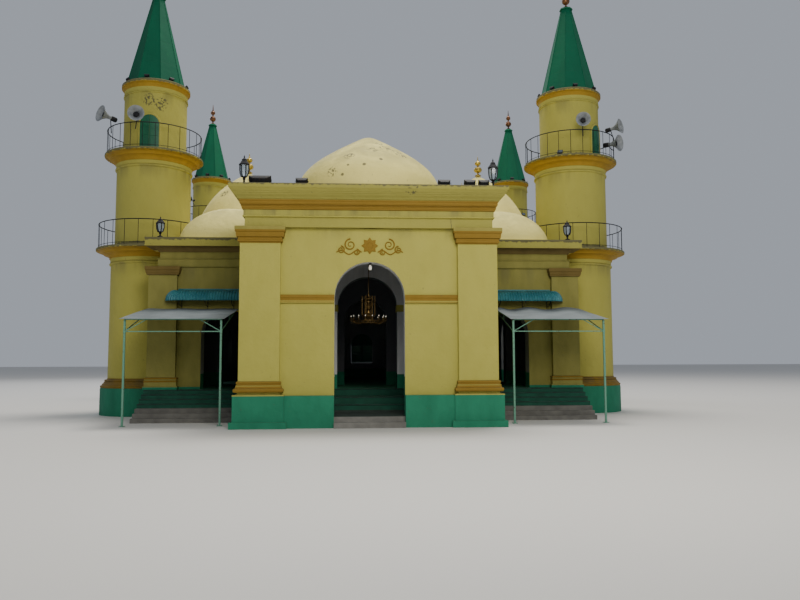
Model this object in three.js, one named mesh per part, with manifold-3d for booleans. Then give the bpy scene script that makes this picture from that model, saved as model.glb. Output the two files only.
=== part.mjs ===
// A plastered brick mosque: a porch with a pointed dome, a prayer hall under rows of
// domes, and four round minarets with railed balconies and green spires.
// Millimetres, +Z up, the front of the porch faces -Y, the origin lies on the ground
// under the middle of the building. Depths below are measured from the porch's plinth.
import * as THREE from 'three';
import { mergeVertices } from 'three/addons/utils/BufferGeometryUtils.js';
import Module from 'manifold-3d';

const wasm = await Module();
wasm.setup();

const GAP = 0.3;

// Porch
const PORCH_PLINTH_HALF = 4330;
const PIER_IN = 2820;
const PIER_OUT = 4090;
const PIER_FACE = 260;
const PIER_BACK = 1460;
const PORCH_WALL_FACE = 420;
const PORCH_WALL = 500;
const FLANK_OUT = 3950;
const DADO_TOP = 1000;
const PIER_BASE_TOP = 1450;
const CAPITAL_LOW = 5840;
const CAPITAL_TOP = 6310;
const FASCIA_LOW = 6640;
const BAND_LOW = 6870;
const BAND_TOP = 7160;
const CORNICE_EDGE = 7490;
const PORCH_TOP = 7620;
const ARCHITRAVE_HALF = 3950;
const CORNICE_HALF = 4390;
const CORNICE_FRONT = -200;
const STRING_LOW = 3910;
const STRING_TOP = 4160;
const STRING_PROUD = 60;
const DADO_PROUD = 150;
const PORCH_FOOT_FACE = 160;
// Mouldings of the piers and of the pilasters: [proud of the shaft, lower edge, upper edge]
const PIER_MOULDINGS = [
  [240, 0, 200],
  [DADO_PROUD, 200, DADO_TOP],
  [110, 1120, 1220],
  [60, 1220, 1330],
  [30, 1330, PIER_BASE_TOP],
  [50, CAPITAL_LOW, 5990],
  [100, 5990, 6150],
  [140, 6150, CAPITAL_TOP],
];

// Doorways
const ARCH_HALF = 1120;
const ARCH_SPRING = 4110;
const SIDE_DOOR_X = 5210;
const SIDE_DOOR_HALF = 920;
const SIDE_DOOR_SPRING = 3080;
const WINDOW_HALF = 650;
const WINDOW_SILL = 1960;
const SIDE_WINDOW_FROM_MIDDLE = 3100;

// Hall
const HALL_FRONT = 4600;
const HALL_BACK = 22400;
const HALL_HALF = 7680;
const WALL = 600;
const FLOOR = 1060;
const PILASTER_IN = 7000;
const PILASTER_OUT = 8030;
const PILASTER_PROUD = 200;
const HALL_CAPITAL_LOW = 5270;
const HALL_FRIEZE_LOW = 5560;
const HALL_CORNICE_LOW = 6150;
const HALL_SOFFIT = 6310;
const COVE_OVER = 150;
const HALL_TOP = 6620;
const HALL_CORNICE_HALF = 8120;
const CEILING = 6300;
const ARCADE_Y = 9000;
const ARCADE_HALF = 900;
const ARCADE_THICK = 500;
const FRIEZE_PROUD = 60;
const FRIEZE_HEIGHT = 320;
const PILASTER_MOULDINGS = [
  [90, FLOOR, 1180],
  [50, 1180, 1490],
  [60, HALL_CAPITAL_LOW, 5450],
  [110, 5450, HALL_FRIEZE_LOW],
];

// Roof
const DOME_X = 5370;
const VAULT_ROW_FROM_MIDDLE = 6850;
const DOME_ROW_FROM_MIDDLE = 2550;
const DOME_RADIUS = 2480;
const DOME_APEX = 10800;
const DOME_FINIAL_TIP = 11760;
const PORCH_DOME_Y = 2350;
const PORCH_DOME_RADIUS = 2500;
const PORCH_DOME_APEX = 9960;
const DOME_FORM = [0.594, 0.49, 0.841];
const PORCH_DOME_FORM = [0.395, 0.78, 0.54];
const SHELL = 180;
const WELL_RADIUS = 2050;
const WELL_TOP = 8000;
const VAULT_HALF_X = 2080;
const VAULT_HALF_Y = 1750;
const VAULT_TOP = 8170;
const VAULT_CURB = 120;
const VAULT_SQUARENESS = 2.4;
const VAULT_FULLNESS = 1;

// Awnings, canopies and chandelier
const AWNING_LOW = 4290;
const AWNING_TOP = 4700;
const AWNING_OUT = 620;
const AWNING_END = 7000;
const AWNING_HEAD = 60;
const AWNING_THICK = 30;
const POST_Y = 1350;
const POST_XS = [4820, 7900];
const SHEET_LOW = 3470;
const SHEET_HIGH = 3990;
const SHEET_THICK = 14;
const SHEET_XS = [4700, 8060];
const SHEET_OVERHANG = 150;
const SHEET_BACK_GAP = 10;
const TIE_HEIGHT = 3050;
const BRACE_REACH = 700;
const TUBES = { post: 60, rail: 40, tie: 30, truss: 26, brace: 24, strut: 20 };
const LAMP_RADIUS = 660;
const LAMP_LOW = 3380;
const LAMP_BODY_TOP = 4300;
const ROD_RADIUS = 16;
const ROD_SEAT = 9.4;

// Minarets: the rear pair is thinner, and its upper levels are lower
const MINARET_X = 8750;
const MINARET_FROM_MIDDLE = 6000;
const REAR_HEIGHT = 0.936;
const REAR_RADIUS = 0.83;
const FINIAL_HEIGHT = 1180;
const RAIL_HEIGHT = 1000;
const ROUND = 20;

const MIDDLE = (HALL_FRONT + HALL_BACK) / 2;
const COLOURS = {
  wall: 0xb9b070,
  dome: 0xe0d49a,
  gold: 0xb07a22,
  green: 0x2f8263,
  spire: 0x0f6e4b,
  teal: 0x28807f,
  sheet: 0x9a9fa8,
  post: 0x5f8570,
  stone: 0x9c968a,
  iron: 0x2b2d2e,
  brass: 0xa8802f,
};

const model = new THREE.Group();
model.name = 'mosque_building';

function paint(colour, roughness = 0.85, metalness = 0) {
  return new THREE.MeshStandardMaterial({ color: COLOURS[colour], roughness, metalness });
}

function solid(geometry) {
  const bare = geometry.clone();
  bare.deleteAttribute('normal');
  bare.deleteAttribute('uv');
  const merged = mergeVertices(bare, 1e-3);
  const vertProperties = new Float32Array(merged.attributes.position.array);
  const triVerts = new Uint32Array(merged.index.array);
  return new wasm.Manifold(new wasm.Mesh({ numProp: 3, vertProperties, triVerts }));
}

function surface(manifold) {
  const mesh = manifold.getMesh();
  const geometry = new THREE.BufferGeometry();
  geometry.setAttribute('position', new THREE.BufferAttribute(mesh.vertProperties, 3));
  geometry.setIndex(new THREE.BufferAttribute(mesh.triVerts, 1));
  return geometry;
}

function add(name, shape, material, parent = model) {
  const geometry = shape.isBufferGeometry ? shape : surface(shape);
  const mesh = new THREE.Mesh(geometry, material);
  mesh.name = name;
  parent.add(mesh);
  return mesh;
}

function union(pieces) {
  return pieces.reduce((whole, piece) => whole.add(piece));
}

// A block between two corners
function block(x0, x1, y0, y1, z0, z1) {
  const geometry = new THREE.BoxGeometry(Math.abs(x1 - x0), Math.abs(y1 - y0), Math.abs(z1 - z0));
  geometry.translate((x0 + x1) / 2, (y0 + y1) / 2, (z0 + z1) / 2);
  return solid(geometry);
}

// A turned solid: points are [radius, height], bottom first, and it starts and ends on the axis
function turned(points, segments = ROUND) {
  const profile = points.map(([radius, height]) => new THREE.Vector2(radius, height));
  const geometry = new THREE.LatheGeometry(profile, segments);
  geometry.rotateX(Math.PI / 2);
  geometry.rotateZ(Math.PI / 2);
  return geometry;
}

// A prism of an outline in the XZ plane, from depth y0 to depth y1
function acrossWall(shape, y0, y1, curveSegments = 8) {
  const geometry = new THREE.ExtrudeGeometry(shape, { depth: y1 - y0, bevelEnabled: false, curveSegments });
  geometry.rotateX(Math.PI / 2);
  geometry.translate(0, y1, 0);
  return solid(geometry);
}

// A prism of an outline in the YZ plane, from x0 to x1; outline points are [y, z]
function alongX(points, x0, x1) {
  const shape = new THREE.Shape(points.map(([y, z]) => new THREE.Vector2(y, z)));
  return alongWall(shape, x0, x1);
}

function alongWall(shape, x0, x1, curveSegments = 8) {
  const geometry = new THREE.ExtrudeGeometry(shape, { depth: x1 - x0, bevelEnabled: false, curveSegments });
  geometry.rotateX(Math.PI / 2);
  geometry.rotateZ(Math.PI / 2);
  geometry.translate(x0, 0, 0);
  return solid(geometry);
}

// Outline of a round-arched opening standing on a sill
function archOutline(x, half, sill, spring) {
  const outline = new THREE.Shape();
  outline.moveTo(x - half, sill);
  outline.lineTo(x + half, sill);
  outline.lineTo(x + half, spring);
  outline.absarc(x, spring, half, 0, Math.PI, false);
  outline.closePath();
  return outline;
}

// A slab whose sides slope outwards from the lower rectangle to the upper one
function flaredBlock(lower, upper, z0, z1) {
  const corners = ([x0, x1, y0, y1], z) => [[x0, y0, z], [x1, y0, z], [x1, y1, z], [x0, y1, z]];
  const position = [...corners(lower, z0), ...corners(upper, z1)].flat();
  const index = [0, 2, 1, 0, 3, 2, 4, 5, 6, 4, 6, 7];
  for (let side = 0; side < 4; side += 1) {
    const next = (side + 1) % 4;
    index.push(side, next, next + 4, side, next + 4, side + 4);
  }
  const geometry = new THREE.BufferGeometry();
  geometry.setAttribute('position', new THREE.Float32BufferAttribute(position, 3));
  geometry.setIndex(index);
  return solid(geometry);
}

// Profile of a pointed dome: one Bezier curve from its foot to its apex. The wall leaves the
// foot upright for `upright` of the height, and nears the apex from [waist, shoulder].
function domeCurve(radius, foot, apex, [upright, waist, shoulder], points) {
  const height = apex - foot;
  const curve = new THREE.CubicBezierCurve(
    new THREE.Vector2(radius, foot),
    new THREE.Vector2(radius, foot + upright * height),
    new THREE.Vector2(waist * radius, foot + shoulder * height),
    new THREE.Vector2(0, apex),
  );
  return curve.getPoints(points).map((point) => [point.x, point.y]);
}

// A dome shell, open below
function domeShell(radius, foot, apex, form, segments) {
  const outer = domeCurve(radius, foot, apex, form, 7);
  const inner = domeCurve(radius - SHELL, foot, apex - SHELL, form, 4).reverse();
  inner[0][0] = 0;
  return turned([...inner, ...outer], segments);
}

// The round well through a roof under a dome
function domeWell(x, y) {
  const below = CEILING - 100;
  const well = turned([[0, below], [WELL_RADIUS, below], [WELL_RADIUS, WELL_TOP], [0, WELL_TOP]], 16);
  well.translate(x, y, 0);
  return solid(well);
}

// A cushion-shaped vault: rounded-square rings that draw in towards a nearly flat crown
function cushion(x, y, sides = 20, rings = 5) {
  const position = [];
  const index = [];
  for (let ring = 0; ring < rings; ring += 1) {
    const rise = (ring / rings) * (Math.PI / 2);
    const reach = Math.cos(rise) ** VAULT_FULLNESS;
    const height = HALL_TOP + (VAULT_TOP - HALL_TOP) * Math.sin(rise);
    for (let side = 0; side < sides; side += 1) {
      const turn = (2 * Math.PI * side) / sides;
      const [east, north] = [Math.cos(turn), Math.sin(turn)];
      const squared = Math.abs(east) ** VAULT_SQUARENESS + Math.abs(north) ** VAULT_SQUARENESS;
      const bulge = squared ** (-1 / VAULT_SQUARENESS);
      position.push(x + VAULT_HALF_X * reach * bulge * east);
      position.push(y + VAULT_HALF_Y * reach * bulge * north, height);
    }
  }
  const crown = position.length / 3;
  position.push(x, y, VAULT_TOP, x, y, HALL_TOP);
  for (let ring = 0; ring < rings; ring += 1) {
    for (let side = 0; side < sides; side += 1) {
      const next = (side + 1) % sides;
      const [here, after] = [ring * sides + side, ring * sides + next];
      if (ring === 0) index.push(next, side, crown + 1);
      if (ring === rings - 1) index.push(here, after, crown);
      else index.push(here, after, after + sides, here, after + sides, here + sides);
    }
  }
  const geometry = new THREE.BufferGeometry();
  geometry.setAttribute('position', new THREE.Float32BufferAttribute(position, 3));
  geometry.setIndex(index);
  return solid(geometry);
}

// Levels and radii of one minaret
function minaretSizes(rear) {
  const up = rear ? REAR_HEIGHT : 1;
  const out = rear ? REAR_RADIUS : 1;
  const crownTop = 13400 * up;
  const spireTop = crownTop + 4050 * out;
  return {
    dado: { r: 1850 * out, z: FLOOR },
    drum: { r: 1580 * out },
    lowerSlab: { r: 2160 * out, z: 6570 },
    middle: { r: 1460 * out },
    upperSlab: { r: 1940 * out, z: 10440 * up },
    upper: { r: 1240 * out, z: 12850 * up },
    crown: { r: 1360 * out, z: crownTop },
    spire: { r: 1190 * out, tip: 230 * out, z: spireTop },
    finialTip: spireTop + FINIAL_HEIGHT,
  };
}

// Depths below a balcony floor at which its ring, fascia, corbel and lip start
const RING_DROP = 670;
const FASCIA_DROP = 560;
const CORBEL_DROP = 400;
const LIP_DROP = 90;

// Ring, plain fascia, curved corbel and thin lip under one balcony
function balconyProfile(from, slab) {
  const reach = slab.r - from.r;
  const corbel = [[0.1, 0], [0.2, 0.18], [0.48, 0.42], [0.78, 0.78], [0.92, 1]].map(([out, up]) => (
    [from.r + out * reach, slab.z - CORBEL_DROP + up * (CORBEL_DROP - LIP_DROP)]
  ));
  return [
    [from.r, slab.z - RING_DROP],
    [from.r + 60, slab.z - RING_DROP + 30],
    [from.r + 60, slab.z - FASCIA_DROP - 20],
    [from.r + 25, slab.z - FASCIA_DROP],
    ...corbel,
    [slab.r, slab.z - LIP_DROP],
    [slab.r, slab.z],
  ];
}

// Slope that brings the painted base in to the drum
const BASE_SLOPE = 260;
const BASE_SHOULDER = 120;
const BASE_STEP = 110;

function minaretShaft(size) {
  const { dado, drum, lowerSlab, middle, upperSlab, upper, crown } = size;
  return turned([
    [0, 0],
    [dado.r, 0],
    [dado.r, dado.z],
    [drum.r + BASE_SHOULDER, dado.z + BASE_SLOPE],
    [drum.r, dado.z + BASE_SLOPE + BASE_STEP],
    ...balconyProfile(drum, lowerSlab),
    [middle.r, lowerSlab.z],
    ...balconyProfile(middle, upperSlab),
    [upper.r, upperSlab.z],
    [upper.r, upper.z],
    [upper.r + 50, upper.z + 40],
    [upper.r + 50, upper.z + 100],
    [upper.r + 10, upper.z + 130],
    [upper.r + 25, crown.z - 300],
    [crown.r - 60, crown.z - 170],
    [crown.r, crown.z - 130],
    [crown.r, crown.z],
    [0, crown.z],
  ]);
}

// A balcony railing: a ring rail on square posts, one welded piece
function railing(slab, posts = 14) {
  const rail = 22;
  const post = 26;
  const radius = slab.r - 90;
  const top = slab.z + RAIL_HEIGHT;
  const ring = [
    [radius - rail, top - 2 * rail],
    [radius + rail, top - 2 * rail],
    [radius + rail, top],
    [radius - rail, top],
    [radius - rail, top - 2 * rail],
  ];
  const pieces = [solid(turned(ring, posts))];
  for (let turn = 0; turn < posts; turn += 1) {
    const stick = new THREE.BoxGeometry(post, post, RAIL_HEIGHT - rail);
    stick.translate(radius, 0, slab.z + (RAIL_HEIGHT - rail) / 2);
    stick.rotateZ((2 * Math.PI * turn) / posts);
    pieces.push(solid(stick));
  }
  return union(pieces);
}

// A metal finial: a collar, balls on a thin neck and a spike; balls are [radius, height, half height]
const NECK = 40;
const MINARET_BALLS = [[170, 320, 165], [130, 680, 125]];
const DOME_BALLS = [[195, 300, 145], [145, 610, 110]];

function finial(foot, tip, collar, balls, segments = 8) {
  const points = [[0, foot], [collar, foot], [collar, foot + 40], [NECK, foot + 100]];
  for (const [radius, middle, half] of balls) {
    for (const [out, up] of [[NECK / radius, -1], [0.75, -0.65], [1, 0], [0.75, 0.65], [NECK / radius, 1]]) {
      points.push([out * radius, foot + middle + up * half]);
    }
  }
  points.push([NECK / 2, tip - 60], [0, tip]);
  return turned(points, segments);
}

function buildMinaret(name, x, y, rear) {
  const size = minaretSizes(rear);
  const place = new THREE.Group();
  place.position.set(x, y, 0);
  model.add(place);
  add(`${name}_shaft`, minaretShaft(size), paint('wall'), place);
  const { crown, spire } = size;
  const cap = 120;
  const spireShape = turned([
    [0, crown.z],
    [spire.r, crown.z],
    [spire.tip, spire.z - cap],
    [spire.tip + 60, spire.z - cap + 10],
    [spire.tip + 40, spire.z - 50],
    [150, spire.z],
    [0, spire.z],
  ], 8);
  spireShape.rotateZ(Math.PI / 8);
  add(`${name}_spire`, spireShape, paint('spire', 0.6), place);
  const knob = finial(spire.z, size.finialTip, 130, MINARET_BALLS);
  add(`${name}_finial`, knob, paint('gold', 0.4, 0.6), place);
  add(`${name}_lower_railing`, railing(size.lowerSlab), paint('iron', 0.6, 0.5), place);
  add(`${name}_upper_railing`, railing(size.upperSlab), paint('iron', 0.6, 0.5), place);
}

// Room that each minaret takes out of the hall's masonry
function minaretRoom(rear, x, y) {
  const { dado, drum, lowerSlab } = minaretSizes(rear);
  const above = VAULT_TOP + 100;
  const room = turned([
    [0, -100],
    [dado.r + GAP, -100],
    [dado.r + GAP, dado.z + GAP],
    [drum.r + BASE_SHOULDER + GAP, dado.z + BASE_SLOPE + GAP],
    [drum.r + GAP, dado.z + BASE_SLOPE + BASE_STEP + GAP],
    [drum.r + GAP, lowerSlab.z - RING_DROP - GAP],
    [drum.r + 70, lowerSlab.z - RING_DROP - GAP],
    [drum.r + 70, lowerSlab.z - CORBEL_DROP - GAP],
    [lowerSlab.r + GAP, lowerSlab.z - LIP_DROP - GAP],
    [lowerSlab.r + GAP, above],
    [0, above],
  ]);
  room.translate(x, y, 0);
  return solid(room);
}

const minaretPlaces = [
  ['front_left_minaret', -MINARET_X, MIDDLE - MINARET_FROM_MIDDLE, false],
  ['front_right_minaret', MINARET_X, MIDDLE - MINARET_FROM_MIDDLE, false],
  ['rear_left_minaret', -MINARET_X, MIDDLE + MINARET_FROM_MIDDLE, true],
  ['rear_right_minaret', MINARET_X, MIDDLE + MINARET_FROM_MIDDLE, true],
];
for (const [name, x, y, rear] of minaretPlaces) buildMinaret(name, x, y, rear);
const minaretCut = union(minaretPlaces.map(([, x, y, rear]) => minaretRoom(rear, x, y)));

// Hall floor and its masonry plinth
const plinth = block(-HALL_HALF, HALL_HALF, HALL_FRONT, HALL_BACK, 0, FLOOR);
add('hall_plinth', plinth.subtract(minaretCut), paint('green'));

const friezeHeights = [HALL_FRIEZE_LOW + 20, HALL_FRIEZE_LOW + FRIEZE_HEIGHT];

// A long wall of the hall with its corner pilasters, frieze and short returns to the minarets
function endWall(front) {
  const face = front ? HALL_FRONT : HALL_BACK;
  const inward = front ? 1 : -1;
  const at = (proud) => face - inward * proud;
  const returnEnd = MIDDLE - inward * MINARET_FROM_MIDDLE;
  const pieces = [
    block(-HALL_HALF, HALL_HALF, at(0), at(-WALL), FLOOR, HALL_CORNICE_LOW),
    block(-HALL_HALF, HALL_HALF, at(FRIEZE_PROUD), at(-WALL), ...friezeHeights),
  ];
  for (const side of [-1, 1]) {
    const inner = side * PILASTER_IN;
    const outer = side * PILASTER_OUT;
    const shaftBack = at(-WALL);
    const wallInside = side * (HALL_HALF - WALL);
    const wallOutside = side * HALL_HALF;
    pieces.push(block(wallInside, wallOutside, at(-1), returnEnd, FLOOR, HALL_CORNICE_LOW));
    pieces.push(block(inner, outer, at(PILASTER_PROUD), shaftBack, FLOOR, HALL_FRIEZE_LOW));
    for (const [proud, low, high] of PILASTER_MOULDINGS) {
      const x0 = side * (PILASTER_IN - proud);
      const x1 = side * (PILASTER_OUT + proud);
      pieces.push(block(x0, x1, at(PILASTER_PROUD + proud), shaftBack, low, high));
    }
  }
  return union(pieces).subtract(minaretCut);
}

// The porch stands against the hall's front, so the hall's mouldings stop beside it
const porchNotch = block(
  -CORNICE_HALF - GAP, CORNICE_HALF + GAP, HALL_FRONT - 1000, HALL_FRONT, -100, HALL_TOP + 100,
);

const SIDE_DOORS = [-SIDE_DOOR_X, SIDE_DOOR_X];
const throughWall = [HALL_FRONT - 400, HALL_FRONT + WALL + 100];
const mainArch = acrossWall(archOutline(0, ARCH_HALF, FLOOR - 10, ARCH_SPRING), ...throughWall);
const sideDoorCuts = SIDE_DOORS.map((x) => (
  acrossWall(archOutline(x, SIDE_DOOR_HALF, FLOOR - 10, SIDE_DOOR_SPRING), ...throughWall)
));
const frontWallCuts = union([porchNotch, mainArch, ...sideDoorCuts]);
add('hall_front_wall', endWall(true).subtract(frontWallCuts), paint('wall'));

const throughRear = [HALL_BACK - WALL - 100, HALL_BACK + 400];
const rearOpenings = [0, ...SIDE_DOORS].map((x) => (
  acrossWall(archOutline(x, WINDOW_HALF, WINDOW_SILL, SIDE_DOOR_SPRING), ...throughRear)
));
add('hall_rear_wall', endWall(false).subtract(union(rearOpenings)), paint('wall'));

// A side wall between two minarets: a middle door and two windows
function sideWall(side) {
  const y0 = MIDDLE - MINARET_FROM_MIDDLE;
  const y1 = MIDDLE + MINARET_FROM_MIDDLE;
  const inner = side * (HALL_HALF - WALL);
  const outer = side * HALL_HALF;
  const pieces = [
    block(inner, outer, y0, y1, FLOOR, HALL_CORNICE_LOW),
    block(inner, outer + side * FRIEZE_PROUD, y0, y1, ...friezeHeights),
  ];
  const cuts = [
    [0, SIDE_DOOR_HALF, FLOOR - 10],
    [-SIDE_WINDOW_FROM_MIDDLE, WINDOW_HALF, WINDOW_SILL],
    [SIDE_WINDOW_FROM_MIDDLE, WINDOW_HALF, WINDOW_SILL],
  ];
  let wall = union(pieces).subtract(minaretCut);
  for (const [shift, half, sill] of cuts) {
    const opening = archOutline(MIDDLE + shift, half, sill, SIDE_DOOR_SPRING);
    wall = wall.subtract(alongWall(opening, side * HALL_HALF - 1000, side * HALL_HALF + 1000));
  }
  return wall;
}
add('hall_left_wall', sideWall(-1), paint('wall'));
add('hall_right_wall', sideWall(1), paint('wall'));

// Inner arcade across the hall, on the line between the vaults and the first domes
const throughArcade = [ARCADE_Y - ARCADE_THICK, ARCADE_Y + ARCADE_THICK];
const arcadeArches = [0, ...SIDE_DOORS].map((x) => (
  acrossWall(archOutline(x, ARCADE_HALF, FLOOR - 10, ARCH_SPRING - 300), ...throughArcade)
));
const arcadeHalf = HALL_HALF - WALL - GAP;
const arcade = block(
  -arcadeHalf, arcadeHalf, ARCADE_Y - ARCADE_THICK / 2, ARCADE_Y + ARCADE_THICK / 2, FLOOR, CEILING,
);
add('inner_arcade', arcade.subtract(union(arcadeArches)).subtract(minaretCut), paint('wall'));

// Roof slab with its parapet cornice; round wells lie under the domes
const footprint = (out) => [-HALL_HALF - out, HALL_HALF + out, HALL_FRONT - out, HALL_BACK + out];
const corniceOver = HALL_CORNICE_HALF - HALL_HALF;
const roofSlab = union([
  flaredBlock(footprint(40), footprint(COVE_OVER), HALL_CORNICE_LOW, HALL_SOFFIT),
  block(...footprint(corniceOver), HALL_SOFFIT, HALL_TOP),
]);
const roomBelow = block(...footprint(-WALL), HALL_CORNICE_LOW - 100, CEILING);
const columns = [-DOME_X, 0, DOME_X];
const domeRows = [MIDDLE - DOME_ROW_FROM_MIDDLE, MIDDLE + DOME_ROW_FROM_MIDDLE];
let roof = roofSlab.subtract(roomBelow).subtract(porchNotch);
for (const y of domeRows) {
  for (const x of columns) {
    roof = roof.subtract(domeWell(x, y));
  }
}
add('hall_roof', roof.subtract(minaretCut), paint('dome'));

// The front and the rear row of cushion vaults, each on a low curb
function vaultRow(y) {
  const out = DOME_X + VAULT_HALF_X + 60;
  const curbHalf = VAULT_HALF_Y + 60;
  const curb = block(-out, out, y - curbHalf, y + curbHalf, HALL_TOP, HALL_TOP + VAULT_CURB);
  return union([curb, ...columns.map((x) => cushion(x, y))]).subtract(minaretCut);
}
add('front_vaults', vaultRow(MIDDLE - VAULT_ROW_FROM_MIDDLE), paint('dome'));
add('rear_vaults', vaultRow(MIDDLE + VAULT_ROW_FROM_MIDDLE), paint('dome'));

const columnNames = ['left', 'middle', 'right'];
domeRows.forEach((y, row) => {
  columns.forEach((x, column) => {
    const name = `${row ? 'rear' : 'front'}_${columnNames[column]}_dome`;
    const place = new THREE.Group();
    place.position.set(x, y, 0);
    model.add(place);
    add(name, domeShell(DOME_RADIUS, HALL_TOP, DOME_APEX, DOME_FORM, 18), paint('dome'), place);
    const knob = finial(DOME_APEX + GAP, DOME_FINIAL_TIP, 150, DOME_BALLS);
    add(`${name}_finial`, knob, paint('gold', 0.4, 0.6), place);
  });
});

// Porch walls
function porchFrontWall() {
  const wallBack = PORCH_WALL_FACE + PORCH_WALL;
  const footHalf = PORCH_PLINTH_HALF - 100;
  const pieces = [
    block(-PIER_OUT, PIER_OUT, PORCH_WALL_FACE, wallBack, 0, CAPITAL_TOP),
    block(-footHalf, footHalf, PORCH_FOOT_FACE, wallBack, 0, DADO_TOP),
    block(-PIER_IN, PIER_IN, PORCH_WALL_FACE - STRING_PROUD, wallBack, STRING_LOW, STRING_TOP),
  ];
  for (const side of [-1, 1]) {
    pieces.push(block(side * PIER_IN, side * PIER_OUT, PIER_FACE, PIER_BACK, 0, CAPITAL_TOP));
    for (const [proud, low, high] of PIER_MOULDINGS) {
      const x0 = side * (PIER_IN - proud);
      const x1 = side * (PIER_OUT + proud);
      pieces.push(block(x0, x1, PIER_FACE - proud, PIER_BACK + proud, low, high));
    }
  }
  const doorway = acrossWall(archOutline(0, ARCH_HALF, -10, ARCH_SPRING), -400, wallBack + 800);
  return union(pieces).subtract(doorway);
}
const porchInner = FLANK_OUT - PORCH_WALL;
const room = block(-porchInner, porchInner, PORCH_WALL_FACE + PORCH_WALL, HALL_FRONT, -10, CAPITAL_TOP + 10);
// Seats in the backs of the piers, with their mouldings cut away, for the ends of the flank walls
const FLANK_SEAT = 10;
const seatFront = PIER_BACK - FLANK_SEAT;
const seats = [-1, 1].map((side) => (
  block(side * (porchInner - 10), side * (FLANK_OUT + GAP), seatFront, HALL_FRONT, -10, CAPITAL_TOP + 10)
));
add('porch_front_wall', porchFrontWall().subtract(room).subtract(union(seats)), paint('wall'));

const FOOT_PROUD = PIER_MOULDINGS[0][0];
const flankBack = HALL_FRONT - GAP;
const FLANK_DADO_PROUD = 100;
for (const [name, side] of [['porch_left_wall', -1], ['porch_right_wall', 1]]) {
  const flank = [
    [0, seatFront, 0, CAPITAL_TOP],
    [FLANK_DADO_PROUD, PIER_BACK + FOOT_PROUD, 0, DADO_TOP],
    [STRING_PROUD, PIER_BACK, STRING_LOW, STRING_TOP],
  ];
  const pieces = flank.map(([proud, front, low, high]) => (
    block(side * porchInner, side * (FLANK_OUT + proud), front + GAP, flankBack, low, high)
  ));
  add(name, union(pieces), paint('wall'));
}

// Porch roof: architrave, gold band and the slanting cornice
const roofBack = HALL_FRONT - GAP;
const entablature = (out) => [-ARCHITRAVE_HALF - out, ARCHITRAVE_HALF + out, PIER_FACE - out, roofBack];
const corniceTop = [-CORNICE_HALF, CORNICE_HALF, CORNICE_FRONT, roofBack];
const porchRoof = union([
  block(...entablature(0), CAPITAL_TOP, BAND_LOW),
  block(...entablature(40), FASCIA_LOW, BAND_LOW),
  flaredBlock(entablature(60), entablature(150), BAND_LOW, BAND_TOP),
  flaredBlock(entablature(170), corniceTop, BAND_TOP, CORNICE_EDGE),
  block(...corniceTop, CORNICE_EDGE, PORCH_TOP),
]);
add('porch_roof', porchRoof.subtract(domeWell(0, PORCH_DOME_Y)), paint('wall'));
const porchDome = domeShell(PORCH_DOME_RADIUS, PORCH_TOP, PORCH_DOME_APEX, PORCH_DOME_FORM, 24);
add('porch_dome', porchDome, paint('dome')).position.set(0, PORCH_DOME_Y, 0);

// Porch floor and steps
const doorHalf = ARCH_HALF - GAP;
const porchFloorHalf = porchInner - GAP;
const insideWall = PORCH_WALL_FACE + PORCH_WALL + GAP;
const STONE_TOP = 350;
const STONE_FRONTS = [60, 360];
const GREEN_FRONTS = [2500, 2900, 4300];
const stoneSteps = union([
  block(-doorHalf, doorHalf, STONE_FRONTS[0], STONE_FRONTS[1] + 40, 0, STONE_TOP / 2),
  block(-doorHalf, doorHalf, STONE_FRONTS[1], insideWall + 100, 0, STONE_TOP),
  block(-porchFloorHalf, porchFloorHalf, insideWall, GREEN_FRONTS[0] - GAP, 0, STONE_TOP),
]);
add('porch_stone_steps', stoneSteps, paint('stone'));
const greenRise = (FLOOR - STONE_TOP) / GREEN_FRONTS.length;
const greenSteps = union(GREEN_FRONTS.map((front, step) => (
  block(-porchFloorHalf, porchFloorHalf, front, HALL_FRONT - GAP, 0, STONE_TOP + (step + 1) * greenRise)
)));
add('porch_green_steps', greenSteps, paint('green'));

// Steps along the front of the hall, on both sides of the porch
const RISERS = 7;
const GOING = 250;
const TOP_GOING = 300;
for (const [name, side] of [['front_steps_left', -1], ['front_steps_right', 1]]) {
  const rise = FLOOR / RISERS;
  const start = HALL_FRONT - PILASTER_PROUD - TOP_GOING - (RISERS - 1) * GOING;
  const outline = [];
  for (let riser = 0; riser < RISERS; riser += 1) {
    outline.push([start + riser * GOING, riser * rise], [start + riser * GOING, (riser + 1) * rise]);
  }
  outline.push([HALL_FRONT - GAP, FLOOR], [HALL_FRONT - GAP, 0]);
  const [x0, x1] = [side * (FLANK_OUT + 100 + GAP), side * PILASTER_OUT].sort((a, b) => a - b);
  add(name, alongX(outline, x0, x1), paint('green'));
}

// An awning over a side doorway: sheet metal bent outwards, with rounded ends
function awning(side) {
  const layer = (reach, z) => {
    const [x0, x1] = [side * (FLANK_OUT + GAP), side * (AWNING_END + 0.5 * reach)].sort((a, b) => a - b);
    return { rectangle: [x0, x1, HALL_FRONT - AWNING_HEAD - reach, HALL_FRONT - GAP], z };
  };
  const bend = (thickness) => [0, 0.35, 0.65, 0.88, 1].map((part) => {
    const turn = (part * Math.PI) / 2;
    const reach = (AWNING_OUT - AWNING_HEAD) * Math.sin(turn) - thickness;
    return layer(reach, AWNING_TOP - thickness - (AWNING_TOP - AWNING_LOW) * (1 - Math.cos(turn)));
  });
  const stack = (layers) => union(layers.slice(1).map((low, i) => (
    flaredBlock(low.rectangle, layers[i].rectangle, low.z, layers[i].z)
  )));
  const pilaster = block(
    side * (PILASTER_IN - GAP), side * (PILASTER_OUT + 500),
    HALL_FRONT - PILASTER_PROUD - GAP, HALL_FRONT, AWNING_LOW - 100, AWNING_TOP + 100,
  );
  return stack(bend(0)).subtract(stack(bend(AWNING_THICK))).subtract(pilaster);
}

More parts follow.
